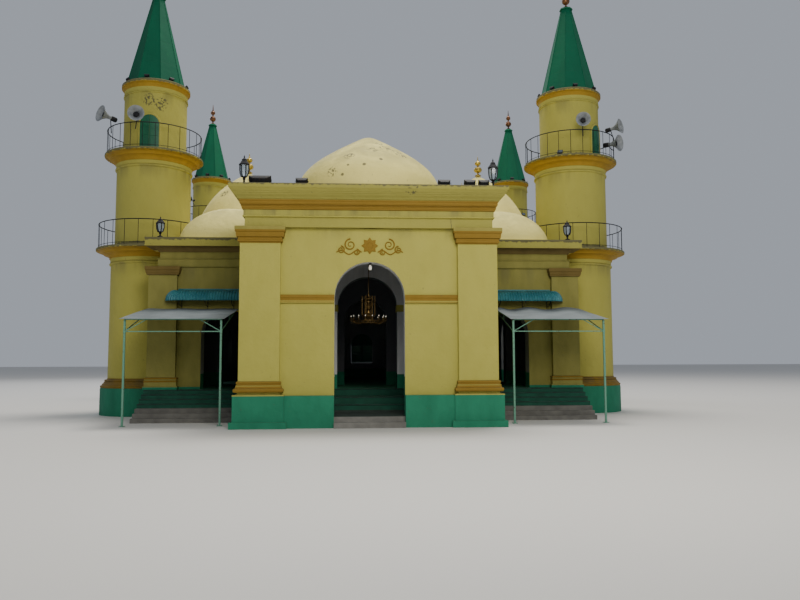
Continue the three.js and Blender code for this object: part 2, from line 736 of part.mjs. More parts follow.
// A straight square bar between two points
function bar(from, to, width) {
  const start = new THREE.Vector3(...from);
  const way = new THREE.Vector3(...to).sub(start);
  const geometry = new THREE.BoxGeometry(width, width, way.length());
  const turn = new THREE.Quaternion().setFromUnitVectors(new THREE.Vector3(0, 0, 1), way.clone().normalize());
  geometry.applyQuaternion(turn);
  geometry.translate(...start.addScaledVector(way, 0.5).toArray());
  return solid(geometry);
}

const sheetBack = HALL_FRONT - PILASTER_PROUD - SHEET_BACK_GAP;
const sheetSlope = (SHEET_HIGH - SHEET_LOW) / (sheetBack - POST_Y);
const underSheet = (y) => SHEET_LOW + sheetSlope * (y - POST_Y);

// A canopy's frame: front posts, a tie and a top rail along the front, and sloping trusses
function canopyFrame(side) {
  const half = TUBES.rail / 2;
  const back = HALL_FRONT - PILASTER_PROUD - half - GAP;
  const chord = (y) => underSheet(y) - half * Math.hypot(1, sheetSlope) - GAP;
  const rail = (y) => underSheet(y) - half * (1 + sheetSlope) - GAP;
  const [x0, x1] = POST_XS.map((x) => side * x);
  const [backStart, backEnd] = [side * (FLANK_OUT + STRING_PROUD + GAP), side * (PILASTER_OUT - 50)];
  const pieces = [
    bar([x0, POST_Y, rail(POST_Y)], [x1, POST_Y, rail(POST_Y)], TUBES.rail),
    bar([x0, POST_Y, TIE_HEIGHT], [x1, POST_Y, TIE_HEIGHT], TUBES.tie),
    bar([backStart, back, rail(back)], [backEnd, back, rail(back)], TUBES.rail),
  ];
  for (const x of [x0, x1]) {
    const inward = x === x0 ? side : -side;
    const middle = (POST_Y + back) / 2;
    pieces.push(bar([x, POST_Y, 0], [x, POST_Y, chord(POST_Y) - half], TUBES.post));
    pieces.push(bar([x, POST_Y, chord(POST_Y)], [x, back, chord(back)], TUBES.rail));
    pieces.push(bar([x, POST_Y, TIE_HEIGHT], [x, back, chord(back)], TUBES.truss));
    pieces.push(bar([x, middle, (TIE_HEIGHT + chord(back)) / 2], [x, middle, chord(middle)], TUBES.strut));
    pieces.push(bar([x, POST_Y, TIE_HEIGHT], [x + inward * BRACE_REACH, POST_Y, rail(POST_Y)], TUBES.brace));
  }
  return union(pieces);
}

// The sheet that lies on a canopy's frame
function canopySheet(side) {
  const front = POST_Y - SHEET_OVERHANG;
  const outline = [
    [front, underSheet(front)],
    [sheetBack, underSheet(sheetBack)],
    [sheetBack, underSheet(sheetBack) + SHEET_THICK],
    [front, underSheet(front) + SHEET_THICK],
  ];
  const [x0, x1] = SHEET_XS.map((x) => side * x).sort((a, b) => a - b);
  return alongX(outline, x0, x1);
}

for (const [word, side] of [['left', -1], ['right', 1]]) {
  add(`awning_${word}`, awning(side), paint('teal', 0.5, 0.3));
  add(`canopy_frame_${word}`, canopyFrame(side), paint('post', 0.5, 0.2));
  add(`canopy_sheet_${word}`, canopySheet(side), paint('sheet', 0.8));
}

// The chandelier hangs on a rod from the crown of the porch's dome
const rodTop = PORCH_DOME_APEX - SHELL - ROD_SEAT;
const chandelier = turned([
  [0, LAMP_LOW],
  [LAMP_RADIUS, LAMP_LOW + 40],
  [LAMP_RADIUS, LAMP_LOW + 160],
  [260, LAMP_LOW + 200],
  [240, LAMP_BODY_TOP],
  [ROD_RADIUS, LAMP_BODY_TOP + 60],
  [ROD_RADIUS, rodTop],
  [0, rodTop],
], 12);
add('chandelier', chandelier, paint('brass', 0.4, 0.7)).position.set(0, PORCH_DOME_Y, 0);

model.position.set(0, -(CORNICE_FRONT + HALL_BACK + HALL_CORNICE_HALF - HALL_HALF) / 2, 0);
export default model;
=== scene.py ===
import math

import bmesh
import bpy
import numpy as np
from mathutils import Matrix, Vector


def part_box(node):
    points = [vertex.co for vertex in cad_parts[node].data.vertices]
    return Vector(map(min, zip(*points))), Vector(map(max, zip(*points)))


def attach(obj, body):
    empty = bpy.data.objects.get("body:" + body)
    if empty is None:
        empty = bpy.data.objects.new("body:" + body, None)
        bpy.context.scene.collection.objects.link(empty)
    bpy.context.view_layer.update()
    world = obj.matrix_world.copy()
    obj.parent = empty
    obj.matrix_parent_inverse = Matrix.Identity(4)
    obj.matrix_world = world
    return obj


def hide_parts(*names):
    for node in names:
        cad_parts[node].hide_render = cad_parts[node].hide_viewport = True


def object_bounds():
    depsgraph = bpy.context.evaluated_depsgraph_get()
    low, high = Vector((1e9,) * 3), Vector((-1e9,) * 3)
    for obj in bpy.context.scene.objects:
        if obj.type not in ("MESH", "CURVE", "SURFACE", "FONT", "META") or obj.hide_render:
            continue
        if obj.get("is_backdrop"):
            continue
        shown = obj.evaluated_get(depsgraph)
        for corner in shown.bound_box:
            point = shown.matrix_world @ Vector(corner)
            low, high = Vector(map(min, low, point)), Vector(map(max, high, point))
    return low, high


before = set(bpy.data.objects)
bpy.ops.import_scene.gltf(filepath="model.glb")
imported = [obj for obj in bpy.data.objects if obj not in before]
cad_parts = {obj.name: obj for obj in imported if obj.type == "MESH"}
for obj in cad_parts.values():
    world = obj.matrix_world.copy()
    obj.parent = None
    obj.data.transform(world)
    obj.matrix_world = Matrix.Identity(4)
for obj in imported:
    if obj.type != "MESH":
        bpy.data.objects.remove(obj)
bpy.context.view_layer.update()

# Camera, floor and light. The camera stands in the court in front of the porch, a little
# left of its middle at standing height, and looks slightly up. Soft panels light the
# building from the front and from above, as an overcast sky does.
PHOTO_WIDTH = 800
FOCAL_PX = 727.6
YAW, PITCH, ROLL = (math.radians(angle) for angle in (3.6818, 4.787, -0.1899))
EYE = Vector((-0.5216, -34.009, 2.072))
camera_data = bpy.data.cameras.new("court_camera")
camera_data.sensor_width = 36
camera_data.lens = FOCAL_PX / PHOTO_WIDTH * camera_data.sensor_width
camera_data.clip_end = 400
camera = bpy.data.objects.new("court_camera", camera_data)
turn = Matrix.Rotation(-YAW, 4, "Z") @ Matrix.Rotation(math.pi / 2 + PITCH, 4, "X")
camera.matrix_world = Matrix.Translation(EYE) @ turn @ Matrix.Rotation(ROLL, 4, "Z")
bpy.context.scene.collection.objects.link(camera)
bpy.context.scene.camera = camera

world = bpy.data.worlds.new("pale_sky")
world.use_nodes = True
world.node_tree.nodes["Background"].inputs["Color"].default_value = (0.76, 0.82, 0.92, 1)
world.node_tree.nodes["Background"].inputs["Strength"].default_value = 0.46
bpy.context.scene.world = world


def panel_light(name, place, size, power, colour):
    """A soft square panel that faces the middle of the building."""
    data = bpy.data.lights.new(name, "AREA")
    data.size = size
    data.energy = power
    data.color = colour
    light = bpy.data.objects.new(name, data)
    light.location = place
    light.rotation_euler = (Vector((0, 0, 5)) - Vector(place)).to_track_quat("-Z", "Y").to_euler()
    bpy.context.scene.collection.objects.link(light)


panel_light("high_panel", (6, 6, 62), 24, 37000, (1.0, 0.96, 0.88))
panel_light("court_panel", (3, -27, 13), 9, 2400, (1.0, 0.95, 0.84))
panel_light("back_panel", (-24, 46, 40), 24, 9000, (0.92, 0.95, 1.0))

floor_mesh = bpy.data.meshes.new("studio_floor")
floor_mesh.from_pydata([(-300, -300, 0), (300, -300, 0), (300, 300, 0), (-300, 300, 0)], [], [(0, 1, 2, 3)])
floor = bpy.data.objects.new("studio_floor", floor_mesh)
floor_paint = bpy.data.materials.new("pale_floor")
floor_paint.use_nodes = True
floor_paint.node_tree.nodes["Principled BSDF"].inputs["Base Color"].default_value = (0.55, 0.54, 0.52, 1)
floor_paint.node_tree.nodes["Principled BSDF"].inputs["Roughness"].default_value = 0.9
floor_mesh.materials.append(floor_paint)
bpy.context.scene.collection.objects.link(floor)
floor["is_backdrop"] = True


# Plastered walls of the porch, the hall and its arcade: brick under lime plaster, painted
# yellow, with green dados, ochre mouldings and pale grey rooms, stained by rain from the
# ledges down. Depths are measured from the porch's plinth, as the building was set out.
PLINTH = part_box("porch_front_wall")[0].y - 0.02
HALL_FRONT = PLINTH + 4.6
HALL_BACK = PLINTH + 22.4
YELLOW = (0.425, 0.39, 0.073)
OCHRE = (0.235, 0.14, 0.007)
# Ochre darkened for painted shade on the hall's front face.
SHADED_OCHRE = (0.15, 0.10, 0.016)
GREEN = (0.008, 0.20, 0.105)
ROOM_GREY = (0.30, 0.31, 0.32)
PORCH_GREY = (0.66, 0.67, 0.68)
GRIME = (0.075, 0.07, 0.045)
LONE_SPOT = 0.15


class Finish:
    """A finish built up in layers. Each method adds nodes and gives back the socket to use next."""

    def __init__(self, name, roughness=0.85, metallic=0.0):
        self.material = bpy.data.materials.new(name)
        self.material.use_nodes = True
        self.tree = self.material.node_tree
        self.shader = self.tree.nodes["Principled BSDF"]
        self.shader.inputs["Roughness"].default_value = roughness
        self.shader.inputs["Metallic"].default_value = metallic
        self.place = self.add("ShaderNodeTexCoord").outputs["Object"]
        self.x, self.y, self.z = self.add("ShaderNodeSeparateXYZ", Vector=self.place).outputs

    def feed(self, socket, value):
        """Links a socket to this one, or sets its value."""
        if isinstance(value, bpy.types.NodeSocket):
            self.tree.links.new(value, socket)
        elif socket.type == "RGBA":
            socket.default_value = (*value[:3], 1)
        else:
            socket.default_value = value

    def add(self, kind, settings=None, **feeds):
        """A node of this kind with its settings and its fed inputs."""
        node = self.tree.nodes.new(kind)
        for name, value in (settings or {}).items():
            setattr(node, name, value)
        for name, value in feeds.items():
            self.feed(node.inputs[name], value)
        return node

    def sum(self, operation, first, second=0.0):
        node = self.tree.nodes.new("ShaderNodeMath")
        node.operation = operation
        self.feed(node.inputs[0], first)
        self.feed(node.inputs[1], second)
        return node.outputs[0]

    def over(self, value, edge, soft=0.01):
        """0 below the edge and 1 above it, with a soft step between."""
        step = self.add("ShaderNodeMapRange", {"interpolation_type": "SMOOTHSTEP"}, Value=value)
        step.inputs["From Min"].default_value = edge - soft
        step.inputs["From Max"].default_value = edge + soft
        return step.outputs[0]

    def under(self, value, edge, soft=0.01):
        return self.sum("SUBTRACT", 1.0, self.over(value, edge, soft))

    def between(self, value, low, high, soft=0.01):
        return self.sum("SUBTRACT", self.over(value, low, soft), self.over(value, high, soft))

    def both(self, *masks):
        whole = masks[0]
        for mask in masks[1:]:
            whole = self.sum("MULTIPLY", whole, mask)
        return whole

    def spot(self, centre, radius):
        """1 near a point and 0 from the radius on, with a ragged edge."""
        away = self.add("ShaderNodeVectorMath", {"operation": "DISTANCE"})
        self.feed(away.inputs[0], self.place)
        self.feed(away.inputs[1], centre)
        ragged = self.sum("MULTIPLY", self.noise(2.5, detail=8), radius)
        return self.under(self.sum("ADD", away.outputs["Value"], ragged), 1.2 * radius, 0.18 * radius)

    def noise(self, scale, stretch=(1, 1, 1), detail=4.0, shift=(0, 0, 0)):
        """Smooth noise from 0 to 1; a small stretch along an axis draws it out along that axis."""
        lay = self.add("ShaderNodeMapping", Vector=self.place, Scale=stretch, Location=shift)
        return self.add("ShaderNodeTexNoise", Vector=lay.outputs[0], Scale=scale, Detail=detail).outputs[0]

    def blend(self, share, first, second):
        node = self.add("ShaderNodeMix", {"data_type": "RGBA"})
        self.feed(node.inputs[0], share)
        self.feed(node.inputs[6], first)
        self.feed(node.inputs[7], second)
        return node.outputs[2]

    def upward(self):
        """How far a face looks up, from 0 to 1."""
        normal = self.add("ShaderNodeNewGeometry").outputs["Normal"]
        return self.over(self.add("ShaderNodeSeparateXYZ", Vector=normal).outputs[2], 0.6, 0.25)

    def finish(self, colour, bumps=(), roughness=None):
        """Feeds the shader; bumps are (height socket, depth in metres), coarse first."""
        self.feed(self.shader.inputs["Base Color"], colour)
        if roughness is not None:
            self.feed(self.shader.inputs["Roughness"], roughness)
        normal = None
        for height, depth in bumps:
            bump = self.add("ShaderNodeBump", Height=height, Distance=depth)
            if normal is not None:
                self.feed(bump.inputs["Normal"], normal)
            normal = bump.outputs[0]
        if normal is not None:
            self.feed(self.shader.inputs["Normal"], normal)
        return self.material


def mottled(name, first, second, patches, edge, soft, bumps=(), roughness=0.5, metallic=0.0, sockets=()):
    """A finish in two shades; the second shows where smooth noise passes an edge. patches are
    what `noise` takes, bumps are (what `noise` takes, depth in metres), and sockets are further
    (socket name, value) pairs of the shader."""
    coat = Finish(name, roughness, metallic)
    for socket, value in sockets:
        coat.shader.inputs[socket].default_value = value
    shades = coat.blend(coat.over(coat.noise(*patches), edge, soft), first, second)
    return coat.finish(shades, [(coat.noise(*lay), depth) for lay, depth in bumps])


EVEN = (1, 1, 1)


def dimmed(colour, share):
    return [share * part for part in colour]


def plaster(name, base=YELLOW, zones=(), ledges=(), edges=(), spots=(), grime=0.3, speckle=0.3):
    """Painted plaster: mottled paint, coloured zones, rain streaks under each ledge, weathered
    edges, dark growth on faces that look up, spots (up to LONE_SPOT whole, larger ones a group
    of flakes), specks and a trowelled surface. zones are (mask maker, colour), ledges (height,
    length of the streaks), edges (height, depth of the dark rim) and spots (centre, radius)."""
    coat = Finish(name)
    fine = coat.noise(2.6, (1, 1, 0.45), 6, (3, 1, 0))
    colour = coat.blend(coat.over(coat.noise(0.55), 0.5, 0.32), base, dimmed(base, 0.9))
    colour = coat.blend(coat.sum("MULTIPLY", coat.over(fine, 0.55, 0.2), 0.25), colour, dimmed(base, 0.8))
    for mask, paint in zones:
        worn = coat.blend(coat.over(fine, 0.52, 0.3), paint, dimmed(paint, 0.78))
        colour = coat.blend(mask(coat), colour, worn)
    streak = coat.over(coat.noise(2.2, (1, 1, 0.06), 5, (7, 2, 0)), 0.55, 0.12)
    for height, length in ledges:
        fade = coat.both(coat.over(coat.z, height - length / 2, length / 2), coat.under(coat.z, height))
        colour = coat.blend(coat.both(streak, fade, grime), colour, GRIME)
    growth = coat.both(coat.upward(), coat.over(coat.noise(1.7, EVEN, 6, (1, 9, 4)), 0.45, 0.15))
    colour = coat.blend(coat.sum("MULTIPLY", growth, 0.9 * grime), colour, GRIME)
    ragged = coat.sum("SUBTRACT", coat.noise(8.0, (1, 1, 0.3), 8, (2, 6, 1)), 0.5)
    ragged = coat.sum("MULTIPLY", ragged, 0.2)
    for height, rim in edges:
        dark = coat.between(coat.sum("ADD", coat.z, ragged), height - rim, height + 0.2, 0.02)
        colour = coat.blend(coat.sum("MULTIPLY", dark, 0.8), colour, GRIME)
    flakes = coat.over(coat.noise(13.0, EVEN, 7, (4, 2, 8)), 0.535, 0.03)
    for centre, radius in spots:
        marks = flakes if radius > LONE_SPOT else 1.0
        colour = coat.blend(coat.both(coat.spot(centre, radius), marks, 0.8), colour, dimmed(GRIME, 0.7))
    specks = coat.over(coat.noise(9.0, EVEN, 3, (5, 5, 1)), 0.72, 0.03)
    colour = coat.blend(coat.sum("MULTIPLY", specks, speckle), colour, GRIME)
    trowel = coat.noise(5.0, EVEN, 3)
    grain = coat.noise(60.0, EVEN, 2)
    roughness = coat.sum("ADD", 0.72, coat.sum("MULTIPLY", fine, 0.2))
    return coat.finish(colour, [(trowel, 0.02), (grain, 0.003)], roughness)


def inside(reach, near, far, top=30.0):
    """Mask of a room's faces: within `reach` of the middle line, between two depths, below `top`."""
    def mask(coat):
        across = coat.under(coat.sum("ABSOLUTE", coat.x), reach)
        return coat.both(across, coat.between(coat.y, near, far, 0.004), coat.under(coat.z, top))
    return mask


def painted_foot(top):
    """Mask of a wall's painted foot."""
    return lambda coat: coat.under(coat.z, top)


def band(low, high):
    """Mask of a level band."""
    return lambda coat: coat.between(coat.z, low, high, 0.006)


def shaded_hall_face(coat):
    """Mask of the hall's front face, which is painted darker than the rest as painted shade."""
    return coat.under(coat.y, HALL_FRONT + 0.05, 0.02)


def recoat(material, *names):
    """Gives CAD nodes their finish."""
    for name in names:
        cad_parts[name].data.materials.clear()
        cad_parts[name].data.materials.append(material)


PORCH_ROOM_HALF, HALL_ROOM_HALF, SIDE_ROOM_HALF = 3.46, 7.09, 7.66
FRONT_FOOT, HALL_FOOT, PORCH_DADO, ROOM_DADO = 1.004, 1.15, 1.58, 1.62
STRING_LOW, FRIEZE_LOW, CAPITAL_TOP, CEILING, HALL_TOP = 3.91, 5.57, 6.31, 6.4, 6.62
BAND_LOW, BAND_TOP = 6.86, 7.165
porch_room = (PORCH_ROOM_HALF, PLINTH + 0.435, HALL_FRONT + 0.01)
porch_dado = (PORCH_ROOM_HALF, PLINTH + 0.45, HALL_FRONT + 0.01, PORCH_DADO)
hall_room = (HALL_ROOM_HALF, HALL_FRONT + 0.02, HALL_BACK - 0.02)
side_room = (SIDE_ROOM_HALF, HALL_FRONT, HALL_BACK)
porch_zones = [
    (inside(*porch_room), PORCH_GREY),
    (inside(*porch_dado), GREEN),
    (painted_foot(FRONT_FOOT), GREEN),
]
hall_zones = [
    (inside(*hall_room), ROOM_GREY),
    (inside(*hall_room, ROOM_DADO), GREEN),
    (inside(*porch_room), PORCH_GREY),
    (inside(*porch_dado), GREEN),
    (painted_foot(HALL_FOOT), GREEN),
]
side_zones = [
    (inside(*side_room), ROOM_GREY),
    (inside(*side_room, ROOM_DADO), GREEN),
    (painted_foot(HALL_FOOT), GREEN),
]
# Painted shade: the hall's front face takes this darker, greener yellow in place of the shade it stands in.
SHADED = (0.255, 0.235, 0.05)
front_zones = [(shaded_hall_face, SHADED), *hall_zones]
porch_flank_plaster = plaster("porch_flank_plaster", YELLOW, porch_zones, [(STRING_LOW, 0.5)])
hall_side_plaster = plaster("hall_side_plaster", YELLOW, side_zones, [(FRIEZE_LOW, 1.4)])
recoat(plaster("porch_plaster", YELLOW, porch_zones, [(CAPITAL_TOP, 0.5)]), "porch_front_wall")
recoat(porch_flank_plaster, "porch_left_wall", "porch_right_wall")
# The hall's front face is painted in the darker yellow: painted shade.
recoat(plaster("hall_front_plaster", YELLOW, front_zones, [(FRIEZE_LOW, 1.0)]), "hall_front_wall")
recoat(plaster("hall_rear_plaster", YELLOW, hall_zones, [(FRIEZE_LOW, 1.4)]), "hall_rear_wall")
recoat(hall_side_plaster, "hall_left_wall", "hall_right_wall")
ARCADE_GREY = (0.12, 0.12, 0.135)
arcade_zones = [(painted_foot(ROOM_DADO), GREEN)]
recoat(plaster("room_plaster", ARCADE_GREY, arcade_zones, grime=0.1, speckle=0.05), "inner_arcade")
ROOF = (0.55, 0.47, 0.12)
ceiling_zones = [(inside(*hall_room, CEILING), ROOM_GREY)]
recoat(plaster("roof_plaster", ROOF, ceiling_zones, edges=[(HALL_TOP, 0.04)], grime=0.6), "hall_roof")


CRACK_X, CRACK_LOW, CRACK_TOP, CRACK_HALF = 2.61, 6.30, 6.66, 0.008


def crack(coat):
    """Mask of a thin ragged crack down the porch's architrave."""
    wander = coat.sum("MULTIPLY", coat.sum("SUBTRACT", coat.noise(4, EVEN, 6), 0.5), 0.12)
    line = coat.between(coat.sum("ADD", coat.x, wander), CRACK_X - CRACK_HALF, CRACK_X + CRACK_HALF, 0.006)
    return coat.both(line, coat.between(coat.z, CRACK_LOW, CRACK_TOP, 0.02), coat.under(coat.y, PLINTH + 1))


porch_ceiling = inside(PORCH_ROOM_HALF, PLINTH + 0.9, HALL_FRONT, CEILING)
roof_zones = [(band(BAND_LOW, BAND_TOP), OCHRE), (porch_ceiling, PORCH_GREY), (crack, GRIME)]
porch_roof_plaster = plaster("porch_roof_plaster", dimmed(YELLOW, 0.8), roof_zones,
                             [(BAND_LOW + 0.01, 0.4)], grime=0.5)
recoat(porch_roof_plaster, "porch_roof")
recoat(plaster("plinth_paint", GREEN, grime=0.4), "hall_plinth")


# Mouldings of plaster run in place along the walls: the piers' capitals and
# bases, the string course at the arch's springing, the gold band and cornice of the porch,
# and the pilasters' caps, the frieze and the parapet lip of the hall, painted ochre and yellow.
CORNICE_TOP = 7.63
STREAK = (1.32, PLINTH - 0.15, CORNICE_TOP - 0.12)
ochre_plaster = plaster("ochre_plaster", OCHRE, grime=0.3, speckle=0.2)
capital_zones = [(band(6.205, 6.5), (0.30, 0.26, 0.05))]
capital_plaster = plaster("pier_capital_plaster", OCHRE, capital_zones, grime=0.3, speckle=0.2)
foot_zones = [(painted_foot(1.108), YELLOW)]
pier_base_plaster = plaster("pier_base_plaster", OCHRE, foot_zones, grime=0.3, speckle=0.2)
yellow_plaster = plaster("yellow_moulding_plaster", YELLOW, grime=0.4)
cornice_plaster = plaster("porch_cornice_plaster", dimmed(YELLOW, 0.72), edges=[(CORNICE_TOP + 0.01, 0.055)],
                          spots=[(STREAK, 0.3)], grime=0.7, speckle=0.5)
# A dark brown band on the cove under the hall's lip: painted shade under the overhang, together with
# weathering.
soffit_shade_zones = [(band(6.13, 6.306), (0.17, 0.12, 0.03))]
lip_plaster = plaster("weathered_shaded_lip_plaster", dimmed(YELLOW, 0.85), soffit_shade_zones,
                      edges=[(HALL_TOP + 0.02, 0.10)], grime=0.9, speckle=0.5)


def about(centre, radius, angle, height):
    """A point at this angle and reach from an upright axis."""
    return centre[0] + radius * np.cos(angle), centre[1] + radius * np.sin(angle), height


class Shape:
    """Points and faces gathered for one piece."""

    def __init__(self):
        self.points = []
        self.faces = []

    def loft(self, rings, ends="cap"):
        """Joins rings of points (rows, columns, 3) into a skin. The ends are closed by flat faces
        ("cap"), by strips across a flat ring ("strip"), by the next ring ("loop"), or by a point
        that the first and the last ring share ("pole")."""
        rings = np.asarray(rings, float)
        poles = rings[[0, -1], 0] if ends == "pole" else []
        rings = rings[1:-1] if ends == "pole" else rings
        rows, columns = rings.shape[:2]
        start = len(self.points)
        self.points.extend(rings.reshape(-1, 3).tolist())
        row = np.arange(rows if ends == "loop" else rows - 1)[:, None]
        side = np.arange(columns)[None]
        after, above = (side + 1) % columns, (row + 1) % rows
        near, far = row * columns, above * columns
        quads = np.stack([near + side, near + after, far + after, far + side], -1)
        self.faces.extend((quads.reshape(-1, 4) + start).tolist())
        first, last = start, start + (rows - 1) * columns
        if ends == "cap":
            self.faces.append(list(range(first, first + columns)))
            self.faces.append(list(range(last, last + columns)))
        if ends == "strip":
            for end in (first, last):
                for step in range(columns // 2 - 1):
                    back = columns - 1 - step
                    self.faces.append([end + step, end + step + 1, end + back - 1, end + back])
        for end, pole in zip((first, last), poles):
            tip = len(self.points)
            self.points.append(pole.tolist())
            self.faces.extend([end + k, end + (k + 1) % columns, tip] for k in range(columns))
        return self

    def turned(self, profile, foot, axis=(0, 0, 1), sides=32, loop=False):
        """A profile of (radius, height) turned about an axis that starts at the foot. A profile
        that starts and ends on the axis is closed by poles, one that closes itself is a ring."""
        profile = np.asarray(profile, float)
        axis = Vector(axis).normalized()
        spin = np.array(axis.to_track_quat("Z", "Y").to_matrix())
        angle = 2 * math.pi * np.arange(sides) / sides
        ring = np.stack([np.cos(angle), np.sin(angle), 0 * angle], 1)
        rings = profile[:, None, :1] * ring[None] + profile[:, None, 1:] * np.array([0, 0, 1])
        rings = rings @ spin.T + np.asarray(foot, float)
        pole = profile[0, 0] == 0 and profile[-1, 0] == 0
        return self.loft(rings, "loop" if loop else "pole" if pole else "cap")

    def tube(self, path, radius, sides=8, loop=False):
        """A round bar: circles across the path, each turned as little as can be from the one before."""
        path = np.asarray(path, float)
        rows = len(path)
        radii = np.broadcast_to(radius, rows)
        if loop:
            way = np.roll(path, -1, 0) - np.roll(path, 1, 0)
        else:
            way = np.gradient(path, axis=0)
        way /= np.linalg.norm(way, axis=1)[:, None]
        start = np.eye(3)[np.argmin(np.abs(way[0]))]
        rings = []
        for point, forward, reach in zip(path, way, radii):
            start = start - forward * (start @ forward)
            start /= np.linalg.norm(start)
            across = np.cross(forward, start)
            angle = 2 * math.pi * np.arange(sides)[:, None] / sides
            rings.append(point + reach * (np.cos(angle) * start + np.sin(angle) * across))
        return self.loft(rings, "loop" if loop else "cap")

    def hoop(self, centre, radius, height, thick, sides=8):
        """A round bar bent to a level ring about an upright axis."""
        angles = 2 * math.pi * np.arange(72) / 72
        return self.tube(np.stack(about(centre, radius, angles, height + 0 * angles), 1), thick, sides, True)

    def block(self, low, high, edge=0.004, place=None):
        """A block with eased edges between two corners, moved by a matrix if one is given."""
        low, high = np.asarray(low, float), np.asarray(high, float)
        middle, half = (low + high) / 2, (high - low) / 2
        signs = [(1, 1), (-1, 1), (-1, -1), (1, -1)]
        rings = []
        for z, inset in ((-half[2], edge), (-half[2] + edge, 0), (half[2] - edge, 0), (half[2], edge)):
            ring = []
            near = half[:2] - inset
            for k, (sx, sy) in enumerate(signs):
                corner = [(near[0], near[1] - edge), (near[0] - edge, near[1])]
                corner = corner if k % 2 == 0 else corner[::-1]
                ring += [(sx * x, sy * y, z) for x, y in corner]
            rings.append(ring)
        rings = np.array(rings) + middle
        if place is not None:
            turned = np.array(place.to_3x3())
            rings = rings @ turned.T + np.array(place.translation)
        return self.loft(rings)

    def run(self, path, profile, back=0.03, loop=False):
        """A moulding along a level path of (x, y) with the wall on its left: the profile of
        (distance out, height) is set off along the mitre of each corner, its back in the wall."""
        path = np.asarray(path, float)
        way = np.roll(path, -1, 0) - path
        way /= np.linalg.norm(way, axis=1)[:, None]
        out = np.stack([way[:, 1], -way[:, 0]], 1)
        before = np.roll(out, 1, 0)
        if not loop:
            before[0] = out[0]
            out[-1] = before[-1]
        mitre = (out + before) / (1 + np.sum(out * before, axis=1))[:, None]
        profile = [(-back, profile[0][1]), *profile, (-back, profile[-1][1])]
        rings = []
        for corner, side in zip(path, mitre):
            rings.append([(*(corner + reach * side), height) for reach, height in profile])
        return self.loft(rings, "loop" if loop else "cap")


def piece(name, shape, material, smooth=35, replaces=()):
    """A piece of the building from a shape: faces turned outwards, edges sharper than `smooth`
    degrees kept sharp, fixed to the building and standing in for the CAD nodes it replaces."""
    mesh = bpy.data.meshes.new(name)
    mesh.from_pydata(shape.points, [], shape.faces)
    work = bmesh.new()
    work.from_mesh(mesh)
    bmesh.ops.recalc_face_normals(work, faces=work.faces)
    work.to_mesh(mesh)
    work.free()
    mesh.polygons.foreach_set("use_smooth", [True] * len(mesh.polygons))
    mesh.set_sharp_from_angle(angle=math.radians(smooth))
    mesh.materials.append(material)
    made = bpy.data.objects.new(name, mesh)
    bpy.context.scene.collection.objects.link(made)
    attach(made, "root")
    if replaces:
        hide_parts(*replaces)
    return made


def wave(start, end, bulge, points=7):
    """A curve from start to end: a straight line with one sine wave of height bulge across it."""
    part = np.linspace(0, 1, points)[:, None]
    line = np.asarray(start) + part * (np.asarray(end) - np.asarray(start))
    return line + np.array([bulge, 0]) * np.sin(2 * math.pi * part)


def hollow(start, end, points=7):
    """A quarter hollow from a low inner point to a high outer one: upright first, then outwards."""
    turn = np.linspace(0, math.pi / 2, points)
    (x0, z0), (x1, z1) = start, end
    return np.stack([x0 + (x1 - x0) * (1 - np.cos(turn)), z0 + (z1 - z0) * np.sin(turn)], 1)


def roll(x, low, high, proud, points=7):
    """A half-round bead that stands out from x."""
    turn = np.linspace(0, math.pi, points)
    return np.stack([x + proud * np.sin(turn), (low + high) / 2 - (high - low) / 2 * np.cos(turn)], 1)


PIER_IN, PIER_OUT, PIER_FACE, PIER_BACK = 2.82, 4.09, PLINTH + 0.26, PLINTH + 1.46
capitals, bases = Shape(), Shape()
pier_cap = [
    (0.02, 5.80), (0.02, 5.83), *roll(0.052, 5.835, 5.90, 0.018), (0.056, 5.91), (0.056, 5.984),
    (0.108, 5.986), (0.108, 6.03), (0.118, 6.045), (0.118, 6.145), (0.145, 6.148), (0.145, 6.20),
    (0.152, 6.21), (0.152, 6.312), (0.10, 6.325),
]
pier_base = [
    (0.155, 1.002), (0.155, 1.03), (0.02, 1.05), (0.02, 1.10), (0.115, 1.115),
    *roll(0.115, 1.12, 1.225, 0.02), *wave((0.075, 1.235), (0.062, 1.325), 0.006), (0.038, 1.335),
    (0.036, 1.36), *roll(0.034, 1.37, 1.445, 0.02), (0.0, 1.46),
]
for side in (-1, 1):
    inner, outer = sorted((side * PIER_IN, side * PIER_OUT))
    path = [(inner, PIER_BACK), (inner, PIER_FACE), (outer, PIER_FACE), (outer, PIER_BACK)]
    capitals.run(path, pier_cap)
    bases.run(path, pier_base)
piece("pier_capitals", capitals, capital_plaster)
piece("pier_bases", bases, pier_base_plaster)

WALL_FACE = PLINTH + 0.42
ARCH_HALF = 1.12
PORCH_HALF = 3.95
string = [
    (0.0, 3.90), *roll(0.03, 3.912, 3.97, 0.035), (0.062, 3.98), (0.062, 4.06), (0.08, 4.075), (0.08, 4.165),
    (0.04, 4.175),
]
courses = Shape()
for side in (-1, 1):
    inner, outer = sorted((side * (ARCH_HALF + 0.005), side * (PIER_IN + 0.01)))
    courses.run([(inner, WALL_FACE), (outer, WALL_FACE)], string)
    flank = [(side * PORCH_HALF, HALL_FRONT), (side * PORCH_HALF, PIER_BACK + 0.002)]
    courses.run(flank if side < 0 else flank[::-1], string)
piece("string_courses", courses, ochre_plaster)


